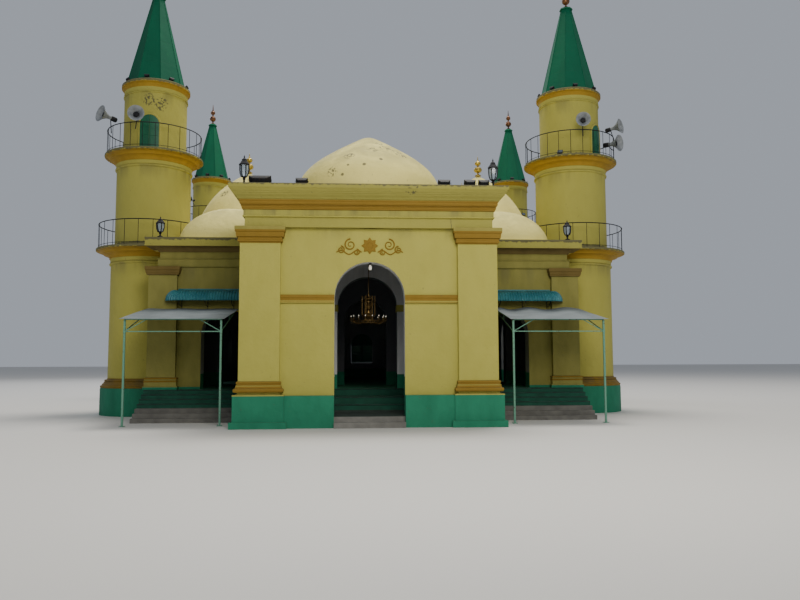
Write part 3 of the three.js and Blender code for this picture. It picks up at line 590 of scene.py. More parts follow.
front = PLINTH + 0.26
porch_path = [(-PORCH_HALF, HALL_FRONT), (-PORCH_HALF, front), (PORCH_HALF, front), (PORCH_HALF, HALL_FRONT)]
gold_band = [
    (0.05, 6.855), (0.08, 6.87), *wave((0.08, 6.90), (0.12, 6.97), 0.01), (0.10, 6.985), (0.10, 7.0),
    (0.135, 7.015), *wave((0.135, 7.03), (0.172, 7.13), 0.012), (0.172, 7.168),
]
fascia_bead = [(0.0, 6.61), *roll(0.04, 6.625, 6.675, 0.03), (0.0, 6.69)]
cornice = [
    (0.172, 7.17), (0.20, 7.18), *wave((0.21, 7.19), (0.335, 7.34), -0.008), (0.355, 7.345), (0.355, 7.365),
    *wave((0.36, 7.37), (0.452, 7.488), 0.006), (0.462, 7.492), (0.462, 7.62), (0.44, 7.628),
]
piece("porch_gold_band", Shape().run(porch_path, gold_band), ochre_plaster)
piece("porch_fascia_bead", Shape().run(porch_path, fascia_bead), yellow_plaster)
piece("porch_cornice", Shape().run(porch_path, cornice), cornice_plaster)

hall_caps, hall_bases = Shape(), Shape()
cap_profile = [
    (0.0, 5.255), (0.066, 5.262), (0.066, 5.30), *wave((0.07, 5.31), (0.112, 5.44), 0.008), (0.118, 5.447),
    (0.118, 5.562), (0.08, 5.57),
]
base_profile = [
    (0.098, 1.062), (0.098, 1.185), (0.058, 1.19), (0.058, 1.33), *roll(0.056, 1.335, 1.385, 0.02),
    (0.06, 1.39), (0.058, 1.435), *roll(0.055, 1.44, 1.495, 0.022), (0.0, 1.50),
]
# On the hall's front face the pilaster bases take the darker yellow: painted shade.
base_zones = [
    (shaded_hall_face, SHADED),
    (band(1.325, 1.392), OCHRE),
    (band(1.432, 1.51), OCHRE),
    (painted_foot(HALL_FOOT), GREEN),
]
base_plaster = plaster("pilaster_base_plaster", YELLOW, base_zones)
# The caps are painted a darker ochre on the hall's front face: painted shade.
cap_plaster = plaster("cap_plaster", OCHRE, [(shaded_hall_face, SHADED_OCHRE)], grime=0.4)
for wall, inward in ((HALL_FRONT, 1), (HALL_BACK, -1)):
    for side in (-1, 1):
        inner, outer = sorted((side * 7.0, side * 8.03))
        face = wall - inward * 0.2
        corners = [(inner, wall), (inner, face), (outer, face), (outer, wall)]
        path = corners if inward > 0 else corners[::-1]
        hall_caps.run(path, cap_profile)
        hall_bases.run(path, base_profile)
piece("hall_pilaster_caps", hall_caps, cap_plaster)
piece("hall_pilaster_bases", hall_bases, base_plaster)

hall_lips, hall_friezes = Shape(), Shape()
frieze = [
    (0.0, 5.565), *roll(0.05, 5.57, 5.61, 0.022), (0.066, 5.615), (0.066, 5.845),
    *roll(0.055, 5.85, 5.892, 0.026), (0.0, 5.90),
]
cove = [(0.03, 6.135), (0.048, 6.14), *wave((0.05, 6.155), (0.16, 6.296), 0.008), (0.40, 6.296)]
lip = [
    *cove, *roll(0.443, 6.30, 6.352, 0.014), (0.445, 6.36), (0.445, 6.545), (0.457, 6.555), (0.457, 6.625),
    (0.42, 6.632),
]
rear_lip = [*cove, (0.443, 6.30), (0.443, 6.625), (0.42, 6.632)]
HALL_HALF = 7.68
imposts = Shape()
impost = [
    (0.0, 3.92), (0.04, 3.94), (0.045, 4.0), *wave((0.05, 4.01), (0.09, 4.07), 0.006), (0.10, 4.08),
    (0.10, 4.15), (0.0, 4.17),
]
for side in (-1, 1):
    jamb, end = side * (ARCH_HALF + 0.005), side * 1.42
    path = [(end, HALL_FRONT), (jamb, HALL_FRONT), (jamb, HALL_FRONT + 0.6)]
    imposts.run(path if side > 0 else path[::-1], impost)
impost_plaster = plaster("impost_plaster", YELLOW, grime=0.15, speckle=0.05)
piece("inner_arch_imposts", imposts, impost_plaster)
front_halves = [[(-HALL_HALF, PLINTH + 5.3), (-HALL_HALF, HALL_FRONT), (-4.40, HALL_FRONT)]]
front_halves.append([(4.40, HALL_FRONT), (HALL_HALF, HALL_FRONT), (HALL_HALF, PLINTH + 5.3)])
shoulder = HALL_BACK - 0.7
rear = [(HALL_HALF, shoulder), (HALL_HALF, HALL_BACK), (-HALL_HALF, HALL_BACK), (-HALL_HALF, shoulder)]
flanks = [[(HALL_HALF, PLINTH + 9.6), (HALL_HALF, PLINTH + 17.7)]]
flanks.append([(-HALL_HALF, PLINTH + 17.7), (-HALL_HALF, PLINTH + 9.6)])
for path in (*front_halves, rear, *flanks):
    hall_lips.run(path, rear_lip if path is rear else lip)
    hall_friezes.run(path, frieze)
piece("hall_cornice", hall_lips, lip_plaster)
# The frieze is painted in the darker yellow on the hall's front face: painted shade.
frieze_plaster = plaster("frieze_plaster", YELLOW, [(shaded_hall_face, SHADED)], grime=0.4)
piece("hall_frieze", hall_friezes, frieze_plaster)


# Ornament over the arch: a raised plaster star with eight points between two pairs of
# scrolls, modelled in place and painted ochre.
def scroll(start, size, turns, way, points=44):
    """A spiral in the wall's plane: its radius shrinks evenly as it turns."""
    part = np.linspace(0, 1, points)
    angle = math.pi / 2 - way * 2 * math.pi * turns * part
    reach = size * (1 - 0.82 * part)
    return np.stack([start[0] + reach * np.cos(angle), 0 * part, start[1] + reach * np.sin(angle)], 1)


ornament = Shape()
ORNAMENT_FACE, ORNAMENT_MIDDLE = WALL_FACE - 0.012, 5.75
star = []
for corner in range(16):
    reach = 0.27 if corner % 2 == 0 else 0.19
    star.append((reach * math.sin(math.pi * corner / 8), reach * math.cos(math.pi * corner / 8)))
rings = []
for share, out in ((1, -0.01), (1, 0.02), (0.9, 0.03), (0.45, 0.03), (0.40, 0.018)):
    rings.append([(x * share, WALL_FACE - out, ORNAMENT_MIDDLE + z * share) for x, z in star])
ornament.loft(rings)
for way in (-1, 1):
    for shift, rise, size, spin in ((0.62, 0.03, 0.19, 1), (0.42, -0.21, 0.10, -1), (0.92, -0.13, 0.12, -1)):
        path = scroll((way * shift, ORNAMENT_MIDDLE + rise), size, 1.6, way * spin)
        path[:, 1] = ORNAMENT_FACE
        ornament.tube(path, np.linspace(0.026, 0.012, len(path)), 6)
    stem = np.linspace(0, 1, 16)
    height = ORNAMENT_MIDDLE - 0.21 + 0.07 * np.sin(3 * math.pi * stem)
    ornament.tube(np.stack([way * (0.26 + 0.80 * stem), 0 * stem + ORNAMENT_FACE, height], 1), 0.02, 6)
piece("arch_ornament", ornament, ochre_plaster)


# Domes over the porch and the hall: brick shells plastered smooth and painted a pale yellow,
# with groups of dark flaked spots. The two rows of cushion vaults stand on low curbs.
# The hall's domes and vaults take a paler copy of the porch dome's cream: painted light that stands in for
# the light their faces miss.
DOME_CREAM, LIT_HALL_CREAM = (0.76, 0.67, 0.21), (0.88, 0.78, 0.25)


def dome_curve(radius, foot, apex, form, points):
    """A Bezier curve from the dome's foot to its apex; it leaves the foot upright."""
    upright, waist, shoulder = form
    rise = apex - foot
    reaches = (radius, radius, waist * radius, 0)
    heights = (foot, foot + upright * rise, foot + shoulder * rise, apex)
    part = np.linspace(0, 1, points)[:, None]
    weights = ((1 - part) ** 3, 3 * part * (1 - part) ** 2, 3 * part ** 2 * (1 - part), part ** 3)
    return sum(weight * np.array(corner) for weight, *corner in zip(weights, reaches, heights))


SHELL = 0.18


def dome(node, form, paint, points, sides, tip_reach=1.0, tip_drop=0.0):
    """A dome's shell on the foot of its node: outer and inner curve, the tip eased down by a
    parabola that ends at tip_reach from the axis."""
    low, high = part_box(node)
    foot = ((low.x + high.x) / 2, (low.y + high.y) / 2, 0)
    radius = (high.x - low.x) / 2
    outer = dome_curve(radius, low.z, high.z, form, points[0])
    outer[:, 1] -= tip_drop * np.clip(1 - outer[:, 0] / tip_reach, 0, 1) ** 2
    inner = dome_curve(radius - SHELL, low.z, high.z - SHELL, form, points[1])[::-1]
    shell = Shape().turned([*inner, *outer], foot, sides=sides)
    piece(f"{node}_shell", shell, paint, 50, [node])


DOME_STAINS = [((-6.22, -1.6, 9.45), 0.35), ((-5.3, -2.0, 9.2), 0.3), ((5.6, -1.4, 10.1), 0.3)]
# Painted light: the hall's domes and vaults use the paler cream.
dome_paint = plaster("dome_plaster", LIT_HALL_CREAM, spots=DOME_STAINS, grime=0.35, speckle=0.3)
for row in ("front", "rear"):
    for column in ("left", "middle", "right"):
        dome(f"{row}_{column}_dome", (0.594, 0.49, 0.841), dome_paint, (26, 12), 64)
PORCH_DOME_Y = (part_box("porch_dome")[0].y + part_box("porch_dome")[1].y) / 2
PORCH_DOME_STAINS = [
    (0.12, 1.61, 9.01, 0.3), (0.50, 1.33, 9.14, 0.32), (0.93, 1.43, 8.95, 0.3), (1.09, 1.47, 8.86, 0.28),
    (-1.21, 2.09, 8.13, 0.26), (-0.68, 1.89, 8.71, 0.26), (0.33, 0.93, 9.40, 0.26), (0.35, 2.15, 8.53, 0.075),
    (-0.19, 2.33, 8.31, 0.085), (-0.70, 2.23, 8.31, 0.07), (-0.88, 2.30, 7.98, 0.075),
]
stains = [((x, PORCH_DOME_Y - before, z), radius) for x, before, z, radius in PORCH_DOME_STAINS]
porch_dome_paint = plaster("porch_dome_plaster", DOME_CREAM, spots=stains, grime=0.4)
dome("porch_dome", (0.395, 0.78, 0.54), porch_dome_paint, (60, 14), 96, tip_reach=0.40, tip_drop=0.07)


def cushion(x, y, sides=64, rows=18):
    """Rounded-square rings that draw in and rise towards a nearly flat crown: the reach is the
    cosine and the height is the sine of an angle that grows evenly."""
    angle = 2 * math.pi * np.arange(sides) / sides
    east, north = np.cos(angle), np.sin(angle)
    squareness = 2.4
    bulge = (np.abs(east) ** squareness + np.abs(north) ** squareness) ** (-1 / squareness)
    rings = [np.stack([x + 0 * east, y + 0 * east, HALL_TOP - 0.1 + 0 * east], 1)]
    for rise in [0, *np.linspace(0, math.pi / 2, rows)]:
        reach = max(math.cos(rise), 0)
        height = HALL_TOP + 1.55 * math.sin(rise)
        across, along = 2.08 * reach * bulge, 1.75 * reach * bulge
        rings.append(np.stack([x + across * east, y + along * north, height + 0 * east], 1))
    rings[1][:, 2] = HALL_TOP - 0.1
    return rings


for node in ("front_vaults", "rear_vaults"):
    low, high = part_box(node)
    y = (low.y + high.y) / 2
    vaults = Shape()
    for x in (-5.37, 0, 5.37):
        vaults.loft(cushion(x, y), "pole")
    vaults.block((-7.51, y - 1.81, HALL_TOP - 0.05), (7.51, y + 1.81, HALL_TOP + 0.12), 0.02)
    piece(f"{node}_cushions", vaults, dome_paint, 50, [node])


# Minarets: round brick towers in plaster, each with two balconies on a curved ochre corbel,
# a flared crown under an octagonal sheet metal spire, iron railings and a door on the upper
# balcony.
def minaret_sizes(name):
    """Sizes of one minaret, read from its nodes; the radii keep the proportions of the front pair."""
    low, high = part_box(f"{name}_shaft")
    share = (high.x - low.x) / 4.32
    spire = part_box(f"{name}_spire")
    return {
        "foot": ((low.x + high.x) / 2, (low.y + high.y) / 2, 0),
        "share": share,
        "base": 1.85 * share,
        "drum": 1.58 * share,
        "lower": 2.16 * share,
        "middle": 1.46 * share,
        "upper": 1.94 * share,
        "top": 1.24 * share,
        "crown": 1.36 * share,
        "lower_floor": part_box(f"{name}_lower_railing")[0].z,
        "upper_floor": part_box(f"{name}_upper_railing")[0].z,
        "crown_top": high.z,
        "spire_top": spire[1].z,
    }


def balcony(inner, outer, floor):
    """Ring mould, plain fascia, hollow corbel and thin lip below a balcony's floor."""
    halfway = (outer - inner) / 2
    return [
        (inner, floor - 0.67), *roll(inner, floor - 0.67, floor - 0.56, 0.06), (inner + 0.02, floor - 0.55),
        (inner + 0.025, floor - 0.42), (inner + 0.06, floor - 0.40),
        *hollow((inner + 0.06, floor - 0.40), (inner + halfway, floor - 0.22), 5),
        *hollow((inner + 1.04 * halfway, floor - 0.21), (outer - 0.03, floor - 0.095), 6),
        (outer - 0.005, floor - 0.085), *roll(outer - 0.012, floor - 0.08, floor - 0.004, 0.012, 5),
        (outer - 0.03, floor),
    ]


CORBEL_GOLD = (0.37, 0.22, 0.006)


def shaft_paint(name, size, spots=()):
    """Yellow drums with a green foot, ochre corbels and dark weathered lips and crown."""
    floors = (size["lower_floor"], size["upper_floor"])
    crown = size["crown_top"]
    zones = [(band(floor - 0.41, floor - 0.09), CORBEL_GOLD) for floor in floors]
    zones += [(band(1.06, 1.435), OCHRE), (painted_foot(1.06), GREEN)]
    zones.append((band(crown - 0.31, crown - 0.10), CORBEL_GOLD))
    ledges = [(floor - 0.6, 0.7) for floor in floors] + [(crown - 0.5, 0.8), (1.4, 0.5)]
    edges = [(floor, 0.085) for floor in floors] + [(crown, 0.10)]
    return plaster(name, YELLOW, zones, ledges, edges, spots, grime=0.4)


MINARETS = ["front_left_minaret", "front_right_minaret", "rear_left_minaret", "rear_right_minaret"]
flaked = [((-8.28, -4.96, 12.38), 0.4), ((-8.7, -5.05, 12.55), 0.32)]
front_paint = shaft_paint("front_shaft_plaster", minaret_sizes(MINARETS[0]), flaked)
rear_paint = shaft_paint("rear_shaft_plaster", minaret_sizes(MINARETS[2]))
for name in MINARETS:
    size = minaret_sizes(name)
    base, drum, middle, top, rim = (size[part] for part in ("base", "drum", "middle", "top", "crown"))
    lower, upper, crown = size["lower_floor"], size["upper_floor"], size["crown_top"]
    profile = [
        (0, 0), (base, 0), (base, 1.0), (base - 0.015, 1.05), *roll(base - 0.03, 1.07, 1.15, 0.028),
        *wave((base - 0.06, 1.16), (drum + 0.13, 1.29), 0.01), *roll(drum + 0.085, 1.31, 1.375, 0.03),
        (drum + 0.025, 1.39), (drum, 1.43),
        *balcony(drum, size["lower"], lower), (middle + 0.02, lower), (middle, lower + 0.03),
        *balcony(middle, size["upper"], upper), (top + 0.02, upper), (top, upper + 0.03), (top, crown - 0.55),
        *roll(top, crown - 0.55, crown - 0.49, 0.04), *roll(top + 0.01, crown - 0.47, crown - 0.43, 0.02),
        (top + 0.015, crown - 0.32), *hollow((top + 0.02, crown - 0.31), (rim - 0.02, crown - 0.14), 6),
        (rim, crown - 0.13), (rim, crown - 0.02), (rim - 0.02, crown), (0, crown),
    ]
    masonry = Shape().turned(profile, size["foot"], sides=80)
    paint = front_paint if "front" in name else rear_paint
    piece(f"{name}_masonry", masonry, paint, 30, [f"{name}_shaft"])

spire_coat = Finish("spire_paint", 0.7)
spire_coat.shader.inputs["Specular IOR Level"].default_value = 0.15
panels = spire_coat.noise(1.2, (1, 1, 0.25), 5)
SHEET_LENGTHS = 1.05
lengths = spire_coat.sum("FRACT", spire_coat.sum("MULTIPLY", spire_coat.z, SHEET_LENGTHS))
seam = spire_coat.over(lengths, 0.985, 0.012)
faded = spire_coat.over(panels, 0.5, 0.3)
spire_colour = spire_coat.blend(faded, (0.002, 0.125, 0.062), (0.002, 0.092, 0.048))
spire_colour = spire_coat.blend(spire_coat.sum("MULTIPLY", seam, 0.2), spire_colour, (0.002, 0.04, 0.025))
spire_paint = spire_coat.finish(spire_colour, [(seam, -0.002), (spire_coat.noise(3), 0.01)])
recoat(spire_paint, *[f"{name}_spire" for name in MINARETS])
seams = Shape()
for name in MINARETS:
    size = minaret_sizes(name)
    for corner in range(8):
        angle = math.pi / 8 + corner * math.pi / 4
        ends = ((1.19, size["crown_top"] + 0.01), (0.23, size["spire_top"] - 0.13))
        roll_path = [about(size["foot"], reach * size["share"], angle, height) for reach, height in ends]
        seams.tube(roll_path, 0.014, 6)
piece("spire_ridge_rolls", seams, spire_paint)

iron = mottled("dark_iron_paint", (0.008, 0.009, 0.012), (0.02, 0.014, 0.012), (12,), 0.62, 0.08,
               [((40,), 0.001)], 0.6, sockets=[("Specular IOR Level", 0.25)])
RAIL_POSTS, RAIL_INSET = 24, 0.09
RAIL_SHOE = [(0, 0), (0.035, 0), (0.035, 0.008), (0.014, 0.014), (0, 0.014)]
for name in MINARETS:
    size = minaret_sizes(name)
    for level in ("lower", "upper"):
        node = f"{name}_{level}_railing"
        low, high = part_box(node)
        radius = size[level] - RAIL_INSET
        railing = Shape()
        railing.hoop(size["foot"], radius, high.z - 0.02, 0.02)
        railing.hoop(size["foot"], radius, low.z + 0.09, 0.01, 6)
        for post in range(RAIL_POSTS):
            turn = 2 * math.pi * post / RAIL_POSTS
            foot = about(size["foot"], radius, turn, low.z)
            railing.tube([foot, (*foot[:2], high.z - 0.02)], 0.011, 6)
            railing.turned(RAIL_SHOE, foot, sides=8)
        piece(f"{node}_bars", railing, iron, 35, [node])


def turned_metal(name, bright, dull):
    """Gilded or coppered metal with dull tarnished patches."""
    coat = Finish(name, 0.4, 0.7)
    tarnish = coat.over(coat.noise(7, detail=6), 0.52, 0.15)
    roughness = coat.sum("ADD", 0.3, coat.sum("MULTIPLY", tarnish, 0.3))
    return coat.finish(coat.blend(tarnish, bright, dull), [(coat.noise(20), 0.002)], roughness)


gilt = turned_metal("gilt_paint", (0.56, 0.42, 0.09), (0.22, 0.155, 0.05))
aged_copper = turned_metal("aged_copper_paint", (0.24, 0.105, 0.045), (0.10, 0.05, 0.03))


def finial(foot, tip, collar, balls):
    """A turned finial: a collar, balls on a thin neck and a spike. balls are (radius, height,
    half height); each is a half ellipse between two points of the neck."""
    neck, tall = 0.035, tip - foot.z
    profile = [(0, 0), (collar, 0), (collar, 0.02), (0.8 * collar, 0.045)]
    profile += list(hollow((neck, 0.16), (0.7 * collar, 0.05), 5)[::-1])
    for radius, middle, half in balls:
        start = math.asin(neck / radius)
        turn = np.linspace(start, math.pi - start, 15)
        profile += [(radius * math.sin(a), middle - half * math.cos(a)) for a in turn]
        end = middle + half
        profile += [(neck + 0.012, end + 0.012), (neck + 0.012, end + 0.03), (neck, end + 0.04)]
    profile += [(neck * 0.8, 0.8 * tall), (0.012, tall - 0.03), (0, tall)]
    return Shape().turned(profile, foot, sides=24)


MINARET_BALLS = [(0.17, 0.32, 0.165), (0.13, 0.68, 0.125)]
DOME_BALLS = [(0.195, 0.30, 0.145), (0.145, 0.61, 0.11)]
for node in [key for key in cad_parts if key.endswith("_finial")]:
    low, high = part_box(node)
    foot = Vector(((low.x + high.x) / 2, (low.y + high.y) / 2, low.z))
    on_dome = "dome" in node
    knob = finial(foot, high.z, 0.15 if on_dome else 0.13, DOME_BALLS if on_dome else MINARET_BALLS)
    piece(f"{node}_turned", knob, aged_copper if "minaret" in node else gilt, 40, [node])

door_paint = mottled("green_door_paint", (0.003, 0.125, 0.055), (0.002, 0.085, 0.04), (3, (1, 1, 0.2)),
                     0.5, 0.3, [((14, (1, 1, 0.1)), 0.003)])


def on_drum(foot, radius, turn, across, height):
    """A point on a round wall: `across` is measured along the wall from the door's middle."""
    return about(foot, radius, turn + across / radius, height)


DOOR_HALF, DOOR_SPRING = 0.38, 1.11
FRAME_HALF = DOOR_HALF + 0.03
outline = [(-FRAME_HALF, 0.01), (-FRAME_HALF, DOOR_SPRING)]
for angle in np.linspace(0, math.pi, 15)[1:-1]:
    outline.append((-FRAME_HALF * math.cos(angle), DOOR_SPRING + FRAME_HALF * math.sin(angle)))
outline += [(FRAME_HALF, DOOR_SPRING), (FRAME_HALF, 0.01)]
doors, door_frames = Shape(), Shape()
for name, turn in zip(MINARETS, (-86, -42, 86, 42)):
    size = minaret_sizes(name)
    foot, floor, wall, turn = size["foot"], size["upper_floor"], size["top"], math.radians(turn)
    steps = np.linspace(-1, 1, 17)
    crest = DOOR_SPRING + DOOR_HALF * np.sqrt(1 - steps ** 2)
    for low_side, high_side in ((0, 8), (8, 16)):
        rings = []
        for k in range(low_side, high_side + 1):
            across = DOOR_HALF * steps[k] * 0.99 + (0.006 if low_side else -0.006)
            corners = ((-0.03, 0.03), (0.03, 0.03), (0.03, crest[k]), (-0.03, crest[k]))
            rings.append([on_drum(foot, wall + out, turn, across, floor + z) for out, z in corners])
        doors.loft(rings)
    for panel_low, panel_high in ((0.14, 0.52), (0.62, 1.04)):
        panel = ((0.02, panel_low), (0.042, panel_low + 0.02), (0.042, panel_high - 0.02), (0.02, panel_high))
        for middle in (-0.19, 0.19):
            doors.loft([[on_drum(foot, wall + out, turn, middle + across, floor + z) for out, z in panel]
                        for across in (-0.13, 0, 0.13)])
    door_frames.tube([on_drum(foot, wall + 0.01, turn, across, floor + z) for across, z in outline], 0.045, 8)
piece("minaret_door_leaves", doors, door_paint)
piece("minaret_door_frames", door_frames, yellow_plaster, 50)


# Loudspeaker horns on the balcony rails and small floodlights round each crown: pressed
# aluminium bells on a driver and a bent bracket, and cast housings with a glass front.
horn_paint = mottled("horn_paint", (0.28, 0.30, 0.32), (0.18, 0.195, 0.21), (6,), 0.5, 0.2, [((15,), 0.001)])


def pane(name, clear, dusty):
    """Lamp glass with dust in patches."""
    see_through = [("Transmission Weight", 0.35)]
    return mottled(name, clear, dusty, (5,), 0.5, 0.3, roughness=0.12, sockets=see_through)


lamp_glass = pane("lamp_glass", (0.17, 0.215, 0.26), (0.10, 0.13, 0.16))


def horn(shape, mouth, way, post_foot, size=0.3):
    """A bell whose radius grows with the square of the way from its throat, a smaller cone
    inside it, a driver behind it, and a bracket from the throat to the foot of its post."""
    way = Vector(way).normalized()
    deep = 1.35 * size
    throat = Vector(mouth) - way * deep
    part = np.linspace(0, 1, 12)
    bell = np.stack([size * (0.22 + 0.78 * part ** 2.2), deep * part], 1)
    inside = bell[::-1] - np.array([0.012, 0])
    profile = [(0, 0), *bell, (size * 1.02, deep + 0.02 * size), *inside[:-4], (0, inside[-5, 1])]
    shape.turned(profile, throat, way, 28)
    cone = [(0, 0.40), (0.20, 0.42), (0.34, 0.66), (0.30, 0.70), (0, 0.72)]
    horn_cores.turned([(size * reach, deep * along) for reach, along in cone], throat, way, 20)
    driver = [(0, -0.75), (0.24, -0.75), (0.30, -0.68), (0.30, -0.12), (0.2, 0.05), (0, 0.05)]
    horn_cores.turned([(size * reach, size * along) for reach, along in driver], throat, way, 20)
    joint = throat + Vector((0, 0, -0.30 * size))
    foot = Vector(post_foot)
    elbow = joint.lerp(foot, 0.5) + Vector((0, 0, -0.02))
    horn_cores.tube([tuple(joint), tuple(elbow), tuple(foot)], 0.018, 6)


horns, horn_cores = Shape(), Shape()
HORNS = [
    ("front_left_minaret", (-1.70, -1.64, 0.36), (-0.66, -0.72, 0.16), (-1.40, -1.20, -0.3), 0.33),
    ("front_left_minaret", (-0.19, -2.13, 0.24), (0.18, -0.97, 0.04), (-0.28, -1.83, -0.3), 0.31),
    ("front_right_minaret", (-0.04, -2.13, 0.32), (-0.22, -0.97, 0.03), (0.02, -1.85, -0.3), 0.29),
    ("front_right_minaret", (1.86, -1.13, 0.39), (0.72, -0.66, 0.12), (1.60, -0.93, -0.02), 0.31),
    ("front_right_minaret", (1.82, -1.05, -0.31), (0.66, -0.74, -0.06), (1.60, -0.93, -0.6), 0.34),
    ("rear_left_minaret", (-0.87, -1.63, 0.31), (-0.5, -0.86, 0), (-0.667, -1.366, -0.02), 0.18),
]
for name, mouth, way, post, size in HORNS:
    rail_top = Vector((*minaret_sizes(name)["foot"][:2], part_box(f"{name}_upper_railing")[1].z))
    horn(horns, rail_top + Vector(mouth), way, rail_top + Vector(post), size)
piece("loudspeaker_horns", horns, horn_paint)
piece("loudspeaker_cores", horn_cores, iron)


def floodlight(body, glass, place, turn, tilt, width=0.36, height=0.2, deep=0.14):
    """A cast housing that narrows to the back, with cooling ribs, a glass front and a bent
    bracket; it stands on its bracket's foot, turned about the upright axis and tilted up."""
    stand = Matrix.Translation(place) @ Matrix.Rotation(turn, 4, "Z")
    head = stand @ Matrix.Translation((0, 0, 0.5 * height + 0.04)) @ Matrix.Rotation(-tilt, 4, "X")
    spin, shift = np.array(head.to_3x3()), np.array(head.translation)

    def ring(share, y):
        half, tall = width / 2 * share, height / 2 * share
        corners = [(half, y, tall), (-half, y, tall), (-half, y, -tall), (half, y, -tall)]
        return np.array(corners) @ spin.T + shift

    housing = ((0.55, 0.5), (0.9, 0.1), (1, -0.3), (1, -0.5), (0.88, -0.5), (0.88, -0.42))
    body.loft([ring(share, along * deep) for share, along in housing])
    glass.loft([ring(0.88, -0.40 * deep), ring(0.88, -0.47 * deep)])
    for rib in (-0.3, -0.1, 0.1, 0.3):
        edges = (rib * width - 0.004, 0.0, -0.3 * height), (rib * width + 0.004, 0.62 * deep, 0.3 * height)
        body.block(*edges, 0.001, head)
    reach, pivot = width / 2 + 0.012, 0.5 * height + 0.04
    arm = [(-reach, 0, pivot), (-reach, 0, 0.012), (reach, 0, 0.012), (reach, 0, pivot)]
    body.tube([tuple(stand @ Vector(point)) for point in arm], 0.009, 4)


floods, flood_glass = Shape(), Shape()
for name in MINARETS:
    size = minaret_sizes(name)
    for lamp in range(8):
        angle = lamp * math.pi / 4 - 0.05
        place = about(size["foot"], size["crown"] - 0.10, angle, size["crown_top"])
        floodlight(floods, flood_glass, place, angle - math.pi / 2, 0.9, 0.19, 0.12, 0.09)
CORNICE_LAMPS = [
    (-3.83, -3.10, 0.21), (-2.36, -1.95, 0.15), (2.16, 2.58, 0.15), (3.0, 3.4, 0.16), (3.46, 3.84, 0.16),
]
for left, right, tall in CORNICE_LAMPS:
    place = ((left + right) / 2, PLINTH + 0.02, CORNICE_TOP)
    floodlight(floods, flood_glass, place, math.pi, 0.5, right - left - 0.025, tall, 0.16)
BALCONY_LAMPS = [("front_right_minaret", -119, 0.22, 0.0), ("rear_right_minaret", -72, 0.09, 0.55)]
for name, turn, inset, up in BALCONY_LAMPS:
    size = minaret_sizes(name)
    angle = math.radians(turn)
    foot = about(size["foot"], size["upper"] - inset, angle, size["upper_floor"])
    place = (*foot[:2], foot[2] + up)
    floodlight(floods, flood_glass, place, angle + math.pi / 2, 0.5, 0.22, 0.16, 0.1)
    if up:
        floods.tube([foot, (*foot[:2], foot[2] + up + 0.02)], 0.016, 6)
piece("floodlight_housings", floods, iron)
piece("floodlight_glasses", flood_glass, lamp_glass)


# Lanterns on the corners of the porch and of the hall's parapet: cast iron stems, six-sided
# glass bodies with a ribbed cage, and a domed cap with a small point.
lanterns, lantern_glass = Shape(), Shape()
lantern_pane = pane("lantern_pane", (0.45, 0.53, 0.60), (0.30, 0.37, 0.43))
LANTERN_STEM = [
    (0, 0), (0.12, 0), (0.12, 0.03), (0.07, 0.05), (0.035, 0.07), (0.035, 0.12), (0.06, 0.15), (0.04, 0.17),
    (0.085, 0.19), (0.10, 0.205), (0, 0.205),
]
LANTERN_CAP = [
    (0, 0.505), (0.185, 0.505), (0.19, 0.53), (0.16, 0.56), (0.11, 0.61), (0.085, 0.64), (0.09, 0.66),
    (0.05, 0.68), (0.02, 0.70), (0.028, 0.73), (0.01, 0.75), (0, 0.79),
]
LANTERN_GLASS = [(0, 0.208), (0.092, 0.208), (0.136, 0.30), (0.151, 0.40), (0.15, 0.502), (0, 0.502)]
LANTERN_RIB = [(0.097, 0.2), (0.143, 0.30), (0.158, 0.40), (0.157, 0.51)]
LANTERN_GIRTH = 0.9


def lantern(place, tall):
    """A six-sided lantern of this height on a turned stem."""
    unit = tall / LANTERN_CAP[-1][1]

    def sized(profile):
        return [(reach * LANTERN_GIRTH, height * unit) for reach, height in profile]

    lanterns.turned(sized(LANTERN_STEM), place, sides=12)
    lanterns.turned(sized(LANTERN_CAP), place, sides=6)
    lantern_glass.turned(sized(LANTERN_GLASS), place, sides=6)
    for corner in range(6):
        turn = corner * math.pi / 3
        rib = [about(place, reach, turn, place[2] + height) for reach, height in sized(LANTERN_RIB)]
        lanterns.tube(rib, 0.018, 5)


for side in (-1, 1):
    lantern((side * 3.97, PLINTH + 0.14, CORNICE_TOP), 0.97)
    lantern((side * 7.62, HALL_FRONT - 0.30, HALL_TOP + 0.01), 0.80)
piece("lantern_cages", lanterns, iron)
piece("lantern_glasses", lantern_glass, lantern_pane)


